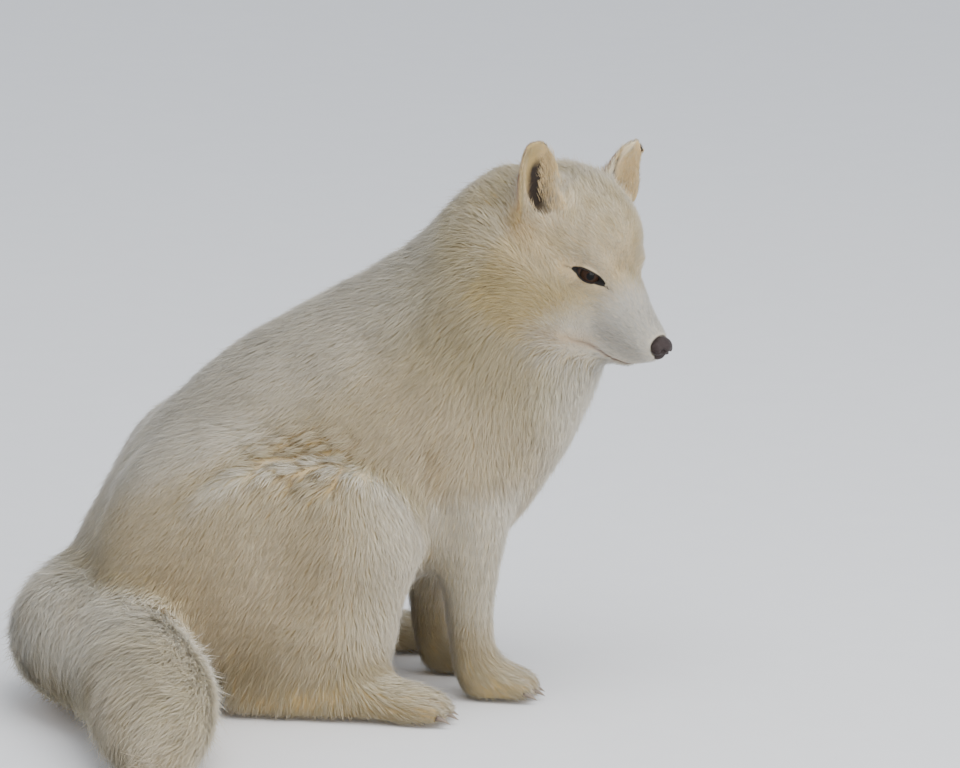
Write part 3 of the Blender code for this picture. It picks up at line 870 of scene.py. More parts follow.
# the coat is thin in and ahead of the ears' openings, and short round eyes and mouth and near the ground
numbers = relaxed(coat_numbers(points, part, local), skin_edges, 30)
depth, length, girth, crowd, pull, lift = numbers.T
for side in (RIGHT, LEFT):
    v, u, out, front = ear_place(local, normals, side)
    pit = ear_pit(v, u, out) * ease(0.0, 0.3, front)
    before = ear_front(v, u, out) * (1 - pit)
    depth *= 1 - 0.8 * pit
    length *= (1 - 0.6 * pit) * (1 - 0.65 * before)
    lift *= (1 - pit) * (1 - 0.8 * before)
    bare = ease(0.25, 0.5, pit * bump(u, ear_slit(v) + 0.1, 0.75)) * ease(4.3, 3.6, v)
    crowd *= 1 - bare * (1 if side == RIGHT else 0.5)
by_eye = ease(-0.9, -0.2, lids(points))
length *= 1 - 0.55 * by_eye
lift *= 1 - by_eye
mouth = ease(0.5, 1.5, local[:, 0]) * ease(4.5, 3.5, np.abs(local[:, 1])) * (points[:, 2] > CHIN_HEIGHT)
length = np.minimum(length, (3.5 + 12 * ease(0.2, 1.4, off_lips(local)) + 20 * (1 - mouth)) * MM)
depth = np.minimum(depth, (1.0 + 4 * ease(0.2, 1.4, off_lips(local)) + 10 * (1 - mouth)) * MM)
heel = relax_mask(starts(part, "hindfoot")) * ease(2, -3, points[:, 0] / CM)
hem = relax_mask(starts(part, "thigh")) * ease(6, 2.5, points[:, 2] / CM)
length *= 1 + 0.9 * heel + 0.5 * hem
lift *= 1 + 2 * heel + hem
clear = 4 * MM + 1.1 * points[:, 2] + 20 * CM * relax_mask(starts(part, "tail"))
length = np.minimum(length, clear)  # no tuft bends under a foot

# its lie, with small swirls, turned aside over the haunch, round the eyes and ahead of the ears
lie = relaxed(coat_lie(points, part, local), skin_edges, 40)
swirl = wander(points, 0.045, 1) * 0.35 + wander(points, 0.016, 2) * 0.2
lie = lie + swirl * column(ease(1.5 * MM, 5 * MM, depth))
crimped = crimp_zone()
length *= 1 - 0.4 * np.clip(crimped, 0, 1)
lie = lie + (np.array([-0.95, 0, -0.3]) - lie) * column(crimped * 0.8)
for side in (RIGHT, LEFT):
    place = moved(points, eye_frame(side).inverted())
    away = np.clip(place[:, 2] * 3, -1, 1)  # up above the eye, down below it
    around = turned(np.stack([0 * away, 0.25 + 0 * away, away], 1), eye_frame(side))
    share = column(0.7 * by_eye * (np.abs(place[:, 2]) < 2) * (np.abs(place[:, 1]) < 2.5))
    lie = lie * (1 - share) + around * share
    v, u, out, front = ear_place(local, normals, side)
    aside = EAR_AXIS * 0.6 + EAR_ACROSS * column(np.clip((u - ear_slit(v)) * 1.5, -1, 1))
    share = column(ear_front(v, u, out))
    lie = lie * (1 - share) + turned(aside * np.array([1, side, 1]), HEAD) * share
lie = unit(lie - normals * dot(lie, normals))
tint = coat_tint(points, normals, local)

inner = points - normals * column(depth)
inner = relaxed(inner, skin_edges, 4, 0.5 * column(1 - firm))
inner[:, 2] = np.maximum(inner[:, 2], np.minimum(depth, 2 * MM))


def unwrapped(obj):
    """Lays the skin's own shape out flat in a map that the tufts share."""
    bpy.context.view_layer.objects.active = obj
    obj.select_set(True)
    bpy.ops.object.mode_set(mode="EDIT")
    bpy.ops.mesh.select_all(action="SELECT")
    bpy.ops.uv.smart_project(angle_limit=math.radians(66), island_margin=0.003)
    bpy.ops.object.mode_set(mode="OBJECT")
    obj.data.uv_layers[0].name = "OFBake"


unwrapped(skin)
mesh = skin.data
mesh.calc_loop_triangles()
triangles = read(mesh.loop_triangles, "vertices", 3).astype(int)
corners = read(mesh.loop_triangles, "loops", 3).astype(int)
flat_map = read(mesh.uv_layers["OFBake"].data, "uv", 2)
surface = BVHTree.FromPolygons(points.tolist(), triangles.tolist())


# ---------------------------------------------------------------- finishes


def colour_group():
    """The coat's colour along a tuft: warm and shaded at the root, pale at the tip, no two tufts alike."""
    tree = bpy.data.node_groups.new("coat_colour", "ShaderNodeTree")
    sockets(
        tree,
        {"Color": "Color"},
        Tint=("Color", (0.8, 0.74, 0.64, 1)),
        Along=("Float", 0.5),
        Tone=("Float", 0.5),
        RootShade=("Color", (0.92, 0.84, 0.70, 1)),
    )
    t = Tree(tree)
    given = tree.nodes.new("NodeGroupInput").outputs
    rooty = t.add("ShaderNodeMapRange", given["Along"], 0.1, 0.6, 0.0, 1.0, interpolation_type="SMOOTHSTEP")
    warm = t.mix("RGBA", 1.0, given["Tint"], given["RootShade"], blend="MULTIPLY")
    body = t.mix("RGBA", rooty, warm, given["Tint"])
    spot = t.add("ShaderNodeTexCoord").outputs["Object"]
    stain = t.add("ShaderNodeTexNoise", spot, None, 38.0, 3.0)
    stain = t.add("ShaderNodeMapRange", stain, 0.35, 0.7, 0.0, 0.3)
    stained = t.mix("RGBA", stain, body, warm)
    tone = t.add("ShaderNodeMapRange", given["Tone"], 0.0, 1.0, 0.86, 1.08)
    grey = t.add("ShaderNodeCombineXYZ", tone, tone, tone)
    done = t.mix("RGBA", 1.0, stained, grey, blend="MULTIPLY")
    tree.links.new(next(s for s in done.outputs if s.enabled), tree.nodes.new("NodeGroupOutput").inputs[0])
    return tree


COAT_COLOUR = colour_group()


def finish(name, roughness, **fixed):
    """A material with its shader's constants set. Returns it, its tree and its shader."""
    made = bpy.data.materials.new(name)
    made.use_nodes = True
    shader = made.node_tree.nodes["Principled BSDF"]
    shader.inputs["Roughness"].default_value = roughness
    for key, value in fixed.items():
        shader.inputs[key.replace("_", " ")].default_value = value
    return made, Tree(made.node_tree), shader


def attribute(t, name, output="Fac"):
    node = t.add("ShaderNodeAttribute", attribute_name=name)
    return node.outputs[output]


WARM_REACH = (1.0, 0.8, 0.55)  # how far each colour of light travels under the coat's surface


def coat_finish(name, soft, reach):
    """Fur that lets light through: soft is the share that does, reach how far it goes, in metres."""
    made, t, shader = finish(
        name, 0.6, Sheen_Weight=0.25, Sheen_Roughness=0.45, Specular_IOR_Level=0.3,
        Subsurface_Weight=soft, Subsurface_Scale=reach, Subsurface_Radius=WARM_REACH,
    )
    colour = t.add("ShaderNodeGroup", node_tree=COAT_COLOUR)
    t.fill(
        [colour.inputs[k] for k in ("Tint", "Along", "Tone")],
        [attribute(t, "tint", "Color"), attribute(t, "along"), attribute(t, "tone")],
    )
    t.fill([shader.inputs["Base Color"]], [colour])
    return made


def skin_finish():
    made, t, shader = finish(
        "skin_under_fur", 0.7, Specular_IOR_Level=0.25,
        Subsurface_Weight=0.6, Subsurface_Scale=2.0 * MM, Subsurface_Radius=WARM_REACH,
    )
    colour = t.add("ShaderNodeGroup", node_tree=COAT_COLOUR)
    t.fill([colour.inputs[k] for k in ("Tint", "Along", "Tone")], [attribute(t, "tint", "Color"), 0.42, 0.5])
    bare = t.mix("RGBA", attribute(t, "bare"), colour, (*LID_BLACK, 1))
    lip = t.mix("RGBA", attribute(t, "lip"), bare, (*LIP, 1))
    t.fill([shader.inputs["Base Color"]], [lip])
    spot = t.add("ShaderNodeTexCoord").outputs["Object"]
    grain = t.add("ShaderNodeTexNoise", spot, None, 900.0, 2.0)
    bump_node = t.add("ShaderNodeBump")
    t.fill([bump_node.inputs[k] for k in ("Strength", "Distance", "Height")], [0.5, 0.0008, grain])
    t.fill([shader.inputs["Normal"]], [bump_node])
    return made


def eye_finish():
    made, t, shader = finish("eye_gloss", 0.05, Specular_IOR_Level=0.12)
    gaze = attribute(t, "gaze")
    streak = t.add("ShaderNodeTexNoise", attribute(t, "rays", "Vector"), None, 9.0, 3.0)
    iris = t.mix("RGBA", streak, (0.012, 0.006, 0.0035, 1), (0.038, 0.019, 0.011, 1))
    inner = t.add("ShaderNodeMapRange", gaze, 0.24, 0.30, 0.0, 1.0, interpolation_type="SMOOTHSTEP")
    pupil = t.mix("RGBA", inner, (0.003, 0.003, 0.003, 1), iris)
    rim = t.add("ShaderNodeMapRange", gaze, 0.60, 0.74, 0.0, 1.0, interpolation_type="SMOOTHSTEP")
    ring = t.mix("RGBA", rim, pupil, (0.008, 0.006, 0.005, 1))
    white = t.add("ShaderNodeMapRange", gaze, 0.78, 0.9, 0.0, 1.0, interpolation_type="SMOOTHSTEP")
    ball = t.mix("RGBA", white, ring, (0.055, 0.035, 0.028, 1))
    t.fill([shader.inputs["Base Color"]], [ball])
    return made


def nose_finish():
    made, t, shader = finish("nose_leather", 0.4, Specular_IOR_Level=0.35)
    spot = t.add("ShaderNodeTexCoord").outputs["Object"]
    cells = t.add("ShaderNodeTexVoronoi", feature="DISTANCE_TO_EDGE")
    t.fill([cells.inputs["Vector"], cells.inputs["Scale"]], [spot, 1150.0])
    cloud = t.add("ShaderNodeTexNoise", spot, None, 190.0, 3.0)
    cloud = t.add("ShaderNodeMapRange", cloud, 0.35, 0.7, 0.0, 1.0)
    tone = t.mix("RGBA", cloud, (0.012, 0.009, 0.009, 1), (0.05, 0.028, 0.025, 1))
    t.fill([shader.inputs["Base Color"]], [tone])
    raised = t.add("ShaderNodeMapRange", cells.outputs["Distance"], 0.0, 0.12, 0.0, 1.0)
    bump_node = t.add("ShaderNodeBump")
    t.fill([bump_node.inputs[k] for k in ("Strength", "Distance", "Height")], [0.7, 0.0003, raised])
    t.fill([shader.inputs["Normal"]], [bump_node])
    return made


def horn_finish(name, root, tip):
    """Claws, whiskers and lashes: one colour at the root and another at the tip."""
    made, t, shader = finish(name, 0.4)
    shade = t.mix("RGBA", attribute(t, "along"), (*root, 1), (*tip, 1))
    t.fill([shader.inputs["Base Color"]], [shade])
    return made


def floor_finish():
    made, t, shader = finish("pale_floor", 0.9, Specular_IOR_Level=0.1)
    spot = t.add("ShaderNodeTexCoord").outputs["Object"]
    cloud = t.add("ShaderNodeTexNoise", spot, None, 3.0, 2.0)
    tone = t.mix("RGBA", cloud, (0.78, 0.79, 0.815, 1), (0.81, 0.82, 0.84, 1))
    t.fill([shader.inputs["Base Color"]], [tone])
    return made


FUR = coat_finish("winter_fur", 0.6, 2.5 * MM)
SHORT_FUR = coat_finish("short_fur", 0.3, 0.7 * MM)
SHORT_FUR_TINT = (0.86, 0.88, 0.91)  # short fur loses less light than long fur, so it is tinted darker


# ---------------------------------------------------------------- coat


def root_points(share_of_crowd):
    """Spreads tufts' roots over the skin. Each comes as its triangle and its share of the three corners."""
    a, b, c = (points[triangles[:, k]] for k in range(3))
    area = np.linalg.norm(np.cross(b - a, c - a), axis=1) / 2
    centre = (a + b + c) / 3
    facing = np.cross(b - a, c - a)[:, 2] / np.maximum(2 * area, 1e-12)
    hidden = (facing < -0.6) & (centre[:, 2] < 0.8 * CM)
    expected = area * crowd[triangles].mean(1) * np.where(hidden, 0.1, 1.0) * share_of_crowd
    running = np.cumsum(expected)
    count = int(running[-1])
    marks = (np.arange(count) + rng.random(count)) * (running[-1] / count)
    face = np.minimum(np.searchsorted(running, marks), len(triangles) - 1)
    u, v = rng.random((2, count))
    over = u + v > 1
    u[over], v[over] = 1 - u[over], 1 - v[over]
    return face, np.stack([1 - u - v, u, v], 1)


LOCK_CROWD = 26e4  # tufts to the square metre that the locks are spaced for
SMALL_LOCK, LARGE_LOCK = 4.5 * MM, 13 * MM
FEWEST_LOCKS = 50


def locks(ends, at, size, pull):
    """Draws the tufts' ends together into locks of about that size, in metres."""
    count = len(at)
    chosen = rng.permutation(count)[: max(int(count / (LOCK_CROWD * size**2)), FEWEST_LOCKS)]
    tree = KDTree(len(chosen))
    for k, index in enumerate(chosen):
        tree.insert(Vector(at[index]), k)
    tree.balance()
    leader = chosen[[tree.find(Vector(p))[1] for p in at]]
    bend, tip = ends
    gap = np.linalg.norm(at[leader] - at, axis=1, keepdims=True)
    strength = pull[:, None] * np.clip(2.2 - gap / size, 0, 1)
    return bend + (bend[leader] - bend) * strength * 0.5, tip + (tip[leader] - tip) * strength, leader


def short_locks(here, zone):
    """Each tuft's nearness to a parting, height on its lock's dome, lean, and way to the lock's middle."""
    parting, dome, lean = np.zeros((3, len(here)))
    inward = np.zeros((len(here), 3))
    for k in np.flatnonzero(zone > 0.04):
        (spot, number, near), (_, _, far) = LOCK_TREE.find_n(Vector(here[k] * LOCK_STRETCH), 2)
        edge = max(1 - (far - near) / (0.5 * LOCK_GAP), 0)
        parting[k], dome[k], lean[k] = edge, 1 - edge**1.5, math.sin(number * 12.9898)
        inward[k] = np.array(spot) / LOCK_STRETCH - here[k]
    return parting, dome, lean, inward


def grow_coat(layer, share_of_crowd, width, flat, height, reach_of, stray, lock, rise_of, segments, most):
    """One layer of the coat: the dense soft underfur, or the fine guard hairs that end at the surface."""
    face, share = root_points(share_of_crowd)
    corner = triangles[face]

    def at(values):
        picked = values[corner]
        return (picked * (share[:, :, None] if picked.ndim == 3 else share)).sum(1)

    here = at(points)
    place = moved(here, HEAD_INV)
    on_head = here[:, 2] > CHIN_HEIGHT
    bare = (lids(here) > -0.08) | ((off_nose(place) < 1.14) & on_head)
    bare |= (off_lips(place) < 0.09) & (place[:, 2] > -4.6) & on_head
    face, share, corner, here, place = (v[~bare] for v in (face, share, corner, here, place))
    count = len(face)
    base, up = at(inner), unit(at(normals))
    one, two, three = (at(v) for v in stops)
    lengths, thick, draw, raise_ = at(length), at(girth), at(pull), at(lift)
    way = unit(at(lie))
    across = unit(np.cross(up, way))
    skinward = base - here
    reach = rng.uniform(*reach_of, count)[:, None]
    sway = rng.normal(0, stray, (2, count, 1)) * lengths[:, None]
    rise = here + skinward * (1 - 0.38 * height) + one * 0.30
    bend = here + skinward * (1 - 0.88 * height) + two * 0.85 * reach + across * sway[0]
    tip = here + skinward * (1 - height) + three * reach + across * (sway[0] + sway[1])
    bend, tip, leader = locks((bend, tip), here, SMALL_LOCK, draw * lock)
    bend, tip, leader = locks((bend, tip), here, LARGE_LOCK, draw * lock)
    puff = wander(here, 0.02, 5)[:, 0]
    loose = np.minimum(rng.exponential(0.6, count), 3.5) - 0.45
    tip += up * (raise_ * (loose * rise_of + 1.2 * puff))[:, None]
    # a sideways wave that runs on from tuft to tuft
    crimp = column(at(waviness))
    for point, share_of in ((rise, 0.6), (bend, 1.0), (tip, 1.0)):
        wave = np.sin(point[:, 2:] / WAVE_HEIGHT + 3 * wander(here, 0.03, 9)[:, :1]) * crimp
        point += across * wave * share_of
    # short thick locks over the haunch, domed in the middle, with ochre partings between them, partly the
    # coat's own colour and partly painted shade
    zone = at(crimped)
    parting, dome, lean, inward = short_locks(here, zone)
    strength = column(zone)
    shading = unit(up - inward / LOCK_GAP * 1.1 * strength)
    inward = across * dot(inward, across)
    puffed = up * column(dome * 3.4 - parting * 0.9)
    tip += ((puffed + across * column(lean * 3.0)) * MM + inward * 0.7) * strength
    bend += ((puffed + across * column(lean * 1.5)) * MM + inward * 0.45) * strength
    rise += up * column(dome * 2.0 - parting * 0.6) * MM * strength
    root = base - up * 0.8 * MM
    for point in (rise, bend, tip):
        low = (0.5 + 0.8 * rng.random(count)) * MM
        point[:, 2] = np.maximum(point[:, 2], low)
    root[:, 2] = np.maximum(root[:, 2], 1.0 * MM)
    thick = thick * rng.uniform(0.75, 1.25, count) * width
    patch = np.zeros((count, 3))
    patch[:, :2] = (flat_map[corners[face]] * share[:, :, None]).sum(1)
    region = coat_region(part[corner[:, 0]], place)
    colour = tuft_colours(at(tint), zone * ease(0.3, 0.9, parting), region)
    tone = 0.2 * rng.normal(size=count) + 0.7 * wander(here[leader], 0.01, 8)[:, 0]
    tone = 0.5 + np.where(region == "face", 1.7, 1.0) * tone + 0.35 * wave[:, 0] / MM
    tone = np.clip(tone, 0, 1)
    for label, name, m in coat_pieces(layer, region, here[:, 1], most):
        fine = name in SHORT_COAT
        spine = (root[m], rise[m], bend[m], tip[m])
        piece = strands(
            label, SHORT_FUR if fine else FUR, spine, thick[m], shading[m], flat, patch[m],
            lengths=segments, soft=0.6 if fine else 0.8, tint=colour[m], tone=tone[m],
        )
        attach(piece, "root")


def tuft_colours(tint, parting, region):
    """Each tuft's colour: ochre in the partings, partly the coat's own colour and partly painted shade,
    uneven on the face and darker where it is short.
    """
    count = len(region)
    # the partings' ochre: partly the coat's own colour, partly painted shade
    colour = tint * column(1 - parting) + np.array(OCHRE) * column(parting)
    colour *= column(1 + 0.13 * np.clip(rng.normal(size=count), -2, 1) * (region == "face"))
    colour *= np.where(column(np.isin(region, SHORT_COAT)), SHORT_FUR_TINT, 1.0)
    return np.concatenate([colour, np.ones((count, 1))], 1)


def coat_pieces(layer, region, order, most):
    """The name, the region and the tufts of each piece of a layer, with the large regions cut up in order."""
    for name in sorted(set(region)):
        members = np.flatnonzero(region == name)
        members = members[np.argsort(order[members], kind="stable")]
        groups = np.array_split(members, math.ceil(len(members) / most))
        for number, group in enumerate(groups, 1):
            label = f"{layer}_{name}" if len(groups) == 1 else f"{layer}_{name}_{number}"
            yield label, name, group


SHORT_COAT = ("face", "ears")


def coat_region(solid, place):
    """The region of the coat that each tuft belongs to."""
    kind = np.array([s.split("_")[0] for s in solid])
    name = np.full(len(kind), "trunk", dtype="U16")
    for word, label in (
        ("neck", "neck"), ("thigh", "thighs"), ("foreleg", "legs"), ("tail", "tail"),
        ("forepaw", "feet"), ("hindfoot", "feet"), ("ear", "ears"),
    ):
        name[kind == word] = label
    on_head = np.isin(kind, ("head", "lower", "eye", "nose"))
    name[on_head] = np.where(place[on_head, 0] > -3.5, "face", "ruff")
    return name


WAVE_HEIGHT = 1.6 * MM
LOCK_GAP = 8 * MM
LOCK_STRETCH = np.array((0.55, 1.0, 1.0))  # the locks lie long ways to the front and back


def lock_middles():
    """A search tree of the middles of the short locks, spaced out over their zones."""
    found = []
    for k in rng.permutation(np.flatnonzero(crimped > 0.03)):
        spot = points[k] * LOCK_STRETCH
        if all(np.linalg.norm(spot - other) > LOCK_GAP for other in found):
            found.append(spot)
    tree = KDTree(len(found))
    for k, spot in enumerate(found):
        tree.insert(Vector(spot), k)
    tree.balance()
    return tree


LOCK_TREE = lock_middles()
waves = {"thigh": 0.8, "foreleg": 1.0, "tail": 0.4}
waviness = 0.3 * MM + sum(size * MM * relax_mask(starts(part, word)) for word, size in waves.items())
waviness *= relax_mask(~kept_form)
stops = walked(points, normals, lie, length, surface, triangles)

# Each layer: its share of the body's crowd of roots, its tufts' width and flatness, the share of the depth
# that they rise through, their reach along the lie, how far they stray, how much they draw into locks and
# stand out, the lengths of mesh in one tuft, and the most tufts in one piece
LAYERS = {
    "underfur": dict(
        share_of_crowd=0.72, width=1.9, flat=0.22, height=0.86, reach_of=(0.8, 1.3),
        stray=0.10, lock=0.3, rise_of=0.4, segments=1, most=48000,
    ),
    "guard": dict(
        share_of_crowd=0.71, width=0.46, flat=0.6, height=1.0, reach_of=(0.6, 1.25),
        stray=0.16, lock=0.5, rise_of=1.0, segments=2, most=19000,
    ),
}
for layer, settings in LAYERS.items():
    grow_coat(layer, **settings)


def ear_fringe():
    """Long pale hairs from each ear's inner edge across its opening, and shorter ones at its outer edge."""
    roots, ways, sizes, patches = [], [], [], []
    for side in (RIGHT, LEFT):
        mirror = np.array([1, side, 1])
        aim = Vector(turned([-EAR_FACING * mirror], HEAD)[0])
        for _ in range(640):
            v = rng.uniform(1.0, 4.4)
            inner_edge = rng.random() < 0.75
            u = ear_slit(v) - rng.uniform(0.35, 1.1) if inner_edge else rng.uniform(0.7, 1.5)
            across = rng.uniform(0.0, 0.4) if inner_edge else rng.uniform(-0.3, 0.1)
            start = HEAD @ Vector((EAR_BASE + EAR_AXIS * v + EAR_ACROSS * u + EAR_FACING * 3) * mirror)
            spot, normal, face, _ = surface.ray_cast(start, aim)
            if spot is None:
                continue
            roots.append(spot)
            way = EAR_AXIS * 0.8 + EAR_ACROSS * across + EAR_FACING * rng.uniform(0.1, 0.35)
            ways.append(turned([way * mirror], HEAD)[0])
            sizes.append(rng.uniform(5, 10) * MM * (1.0 if inner_edge else 0.7))
            patches.append((*flat_map[corners[face][0]], 0))
    roots, ways, sizes = np.array(roots), np.array(ways), column(sizes)
    above = normals_near(roots)
    start = roots - ways * 0.6 * MM
    spine = [start + ways * sizes * t - above * sizes * 0.25 * t * t for t in (0, 0.4, 0.75, 1)]
    tints = np.tile((*CREAM, 1), (len(roots), 1))
    tone = rng.uniform(0.3, 0.9, len(roots))
    thick = rng.uniform(0.07, 0.15, len(roots)) * MM
    piece = strands(
        "ear_fringe", SHORT_FUR, spine, thick, above, 0.6, np.array(patches),
        lengths=2, soft=0.5, tint=tints, tone=tone,
    )
    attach(piece, "root")


def normals_near(spots):
    return np.array([surface.find_nearest(Vector(p))[1] for p in spots])


ear_fringe()


# ---------------------------------------------------------------- skin


def face_detail(obj):
    """Refines the skin of the face and shapes its lids, lips and the seat of the nose."""
    bm = bmesh.new()
    bm.from_mesh(obj.data)
    inverse = np.array(HEAD_INV)
    for limit in ("face", "face", "eye"):
        bm.verts.ensure_lookup_table()
        co = np.array([v.co for v in bm.verts])
        place = co @ inverse[:3, :3].T + inverse[:3, 3]
        if limit == "face":
            chosen = (place[:, 0] > -1.6) & (np.abs(place[:, 1]) < 4.5) & (place[:, 2] > -5.5)
            chosen &= co[:, 2] > CHIN_HEIGHT
        else:
            chosen = lids(co) > -0.45
        edges = [e for e in bm.edges if chosen[e.verts[0].index] and chosen[e.verts[1].index]]
        bmesh.ops.subdivide_edges(bm, edges=edges, cuts=1, use_grid_fill=True)
    bmesh.ops.triangulate(bm, faces=[f for f in bm.faces if len(f.verts) > 4])
    bm.to_mesh(obj.data)
    bm.free()
    mesh = obj.data
    mesh.update()
    edges = np.array([e.vertices for e in mesh.edges])
    co = read(mesh.vertices, "co", 3)
    place = moved(co, HEAD_INV)
    on_face = ((place[:, 0] > -1.2) & (co[:, 2] > CHIN_HEIGHT)).astype(float)
    co = relaxed(co, edges, 8, 0.5 * column(on_face))
    bare = np.zeros(len(co))
    for side in (RIGHT, LEFT):
        to_eye = eye_frame(side)
        p = moved(co, to_eye.inverted())
        inside = almond(p)
        ball = p - np.array(BALL_IN_EYE)
        radius = np.linalg.norm(ball, axis=1)
        near = (p[:, 0] > -1.2) & (np.abs(p[:, 1]) < 2.2) & (np.abs(p[:, 2]) < 1.7)
        outer = EYE_RADIUS + 0.10 - 0.03 * ease(0.1, 0.5, -inside)
        over_ball = (np.abs(p[:, 1]) < 1.15) & (np.abs(p[:, 2]) < 0.95)
        wanted = np.where(over_ball, np.maximum(radius, outer), radius)
        sunk = np.minimum(radius, EYE_RADIUS - 0.16)
        open_ = ease(-0.01, 0.05, inside)
        wanted = wanted * (1 - open_) + sunk * open_
        wanted = np.where(near, wanted, radius)
        p = np.array(BALL_IN_EYE) + ball * (wanted / np.maximum(radius, 1e-6))[:, None]
        co = np.where(near[:, None], moved(p, to_eye), co)
        y, z = p[:, 1], p[:, 2]
        rim = ease(-0.13, -0.06, inside)
        tear = bump(z + 0.10 * (-y - 1.2), -0.06, 0.09) * ease(-0.95, -1.15, y) * ease(-2.0, -1.5, y)
        behind = 0.55 * bump(z, -0.02, 0.07) * ease(1.0, 1.2, y) * ease(2.0, 1.5, y)
        bare = np.where(near, np.maximum(bare, np.maximum(rim, np.maximum(tear, behind))), bare)
    place = moved(co, HEAD_INV)
    mesh.vertices.foreach_set("co", co.astype(np.float32).ravel())
    mesh.update()
    normal = read(mesh.vertex_normals, "vector", 3)
    x, y, z = place.T
    on_face = (co[:, 2] > CHIN_HEIGHT) & (x > 0)
    away = off_lips(place)
    groove = on_face * bump(away, 0, 0.09) * ease(1.3, 2.3, x)
    pad = on_face * ease(1.12, 0.95, off_nose(place))
    co = co - normal * column(0.13 * CM * groove + 0.22 * CM * pad)
    mesh.vertices.foreach_set("co", co.astype(np.float32).ravel())
    lip = on_face * bump(away, 0, 0.11) * ease(1.2, 2.8, x) * 0.9
    put(mesh, "bare", "FLOAT", np.maximum(bare, 0.9 * on_face * ease(1.2, 1.05, off_nose(place))))
    put(mesh, "lip", "FLOAT", lip)
    mesh.update()


mesh.vertices.foreach_set("co", inner.astype(np.float32).ravel())
put(mesh, "tint", "FLOAT_COLOR", np.concatenate([tint, np.ones((len(tint), 1))], 1))
face_detail(skin)
skin.data.materials.clear()
skin.data.materials.append(skin_finish())
skin.data.shade_smooth()
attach(skin, "root")
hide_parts(*FLESH)


# ---------------------------------------------------------------- eyes, nose, claws, whiskers


def eyeball(side):
    """An eyeball whose pole looks out between the lids, a little fuller over the iris."""
    name = "eye_ball_" + ("right" if side == RIGHT else "left")
    bm = bmesh.new()
    bmesh.ops.create_uvsphere(bm, u_segments=48, v_segments=32, radius=1)
    gaze, rays = [], []
    for v in bm.verts:
        angle = math.acos(max(-1, min(1, v.co.z)))
        gaze.append(angle)
        rays.append((v.co.x * 1.5, v.co.y * 1.5, angle * 0.25))
        v.co *= EYE_RADIUS + 0.06 * math.exp(-((angle / 0.62) ** 4))
    mesh = bpy.data.meshes.new(name)
    bm.to_mesh(mesh)
    bm.free()
    put(mesh, "gaze", "FLOAT", gaze)
    put(mesh, "rays", "FLOAT_VECTOR", rays)
    gaze_way = Matrix.Rotation(math.radians(-12), 4, "Z") @ Matrix.Rotation(math.radians(90 - 8), 4, "Y")
    mesh.transform(eye_frame(side) @ Matrix.Translation(BALL_IN_EYE) @ gaze_way)
    if side == RIGHT:  # its frame is a mirror image
        mesh.flip_normals()
    mesh.shade_smooth()
    return linked(name, mesh)


eye_gloss = eye_finish()
for side, word in ((RIGHT, "right"), (LEFT, "left")):
    ball = eyeball(side)
    ball.data.materials.append(eye_gloss)
    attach(ball, "root")
    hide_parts("eye_" + word)


def nose_pad():
    """The nose pad, with comma-shaped nostrils and the groove between them."""
    bm = bmesh.new()

    def lump(centre, radii):
        at = Matrix.Translation(centre) @ Matrix.Diagonal((*radii, 1))
        bmesh.ops.create_uvsphere(bm, u_segments=24, v_segments=16, radius=1, matrix=at)

    lump((5.92, 0, -1.82), (0.66, 0.72, 0.56))
    lump((5.9, 0, -2.25), (0.5, 0.34, 0.62))
    for side in (RIGHT, LEFT):
        lump((5.95, side * 0.42, -1.98), (0.5, 0.44, 0.46))
    mesh = bpy.data.meshes.new("nose_pad")
    bm.to_mesh(mesh)
    bm.free()
    obj = linked("nose_pad", mesh)
    fuse = obj.modifiers.new("Fuse", "REMESH")
    fuse.mode = "VOXEL"
    fuse.voxel_size = 0.045
    smooth = obj.modifiers.new("Soften", "SMOOTH")
    smooth.iterations = 5
    mesh = baked(obj)
    co = read(mesh.vertices, "co", 3)
    mesh.update()
    normal = read(mesh.vertex_normals, "vector", 3)
    x, y, z = co.T
    lateral = np.abs(y)
    front = ease(5.9, 6.2, x)
    hole = bump(lateral, 0.36, 0.17) * bump(z, -1.98, 0.15) * ease(5.8, 6.1, x)
    slope = z + 2.16 + 0.25 * (lateral - 0.62)
    slit = bump(lateral, 0.62, 0.22) * bump(slope, 0, 0.07) * ease(5.5, 5.8, x)
    groove = bump(y, 0, 0.06) * front * ease(-1.8, -2.05, z)
    co = co - normal * column(0.34 * hole + 0.16 * slit + 0.10 * groove)
    mesh.vertices.foreach_set("co", co.astype(np.float32).ravel())
    mesh.transform(HEAD)
    mesh.shade_smooth()
    mesh.materials.clear()
    mesh.materials.append(nose_finish())
    return obj


nose = nose_pad()
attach(nose, "root")
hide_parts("nose")


def hairs(name, look, rows, sides=5, steps=5):
    """Strands from rows of root, way, droop, length and half width, which bend from the way to the droop."""
    roots, ways, droops, lengths, girth = (np.array(v, float) for v in zip(*rows))
    lengths = column(lengths)
    spine = [roots + ways * lengths * t + droops * lengths * t * t for t in (0, 0.33, 0.66, 1)]
    crown = np.tile((0.1, 0.2, 1.0), (len(roots), 1))
    piece = strands(name, look, spine, girth, crown, flat=1.0, sides=sides, lengths=steps, belly=0.3)
    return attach(piece, "root")


def head_point(x, y, z):
    """The skin's surface point nearest to a point of the head's frame."""
    found = skin_tree.find_nearest(HEAD @ Vector((x, y, z)))
    return np.array(found[0]) - np.array(found[1]) * 0.6 * MM


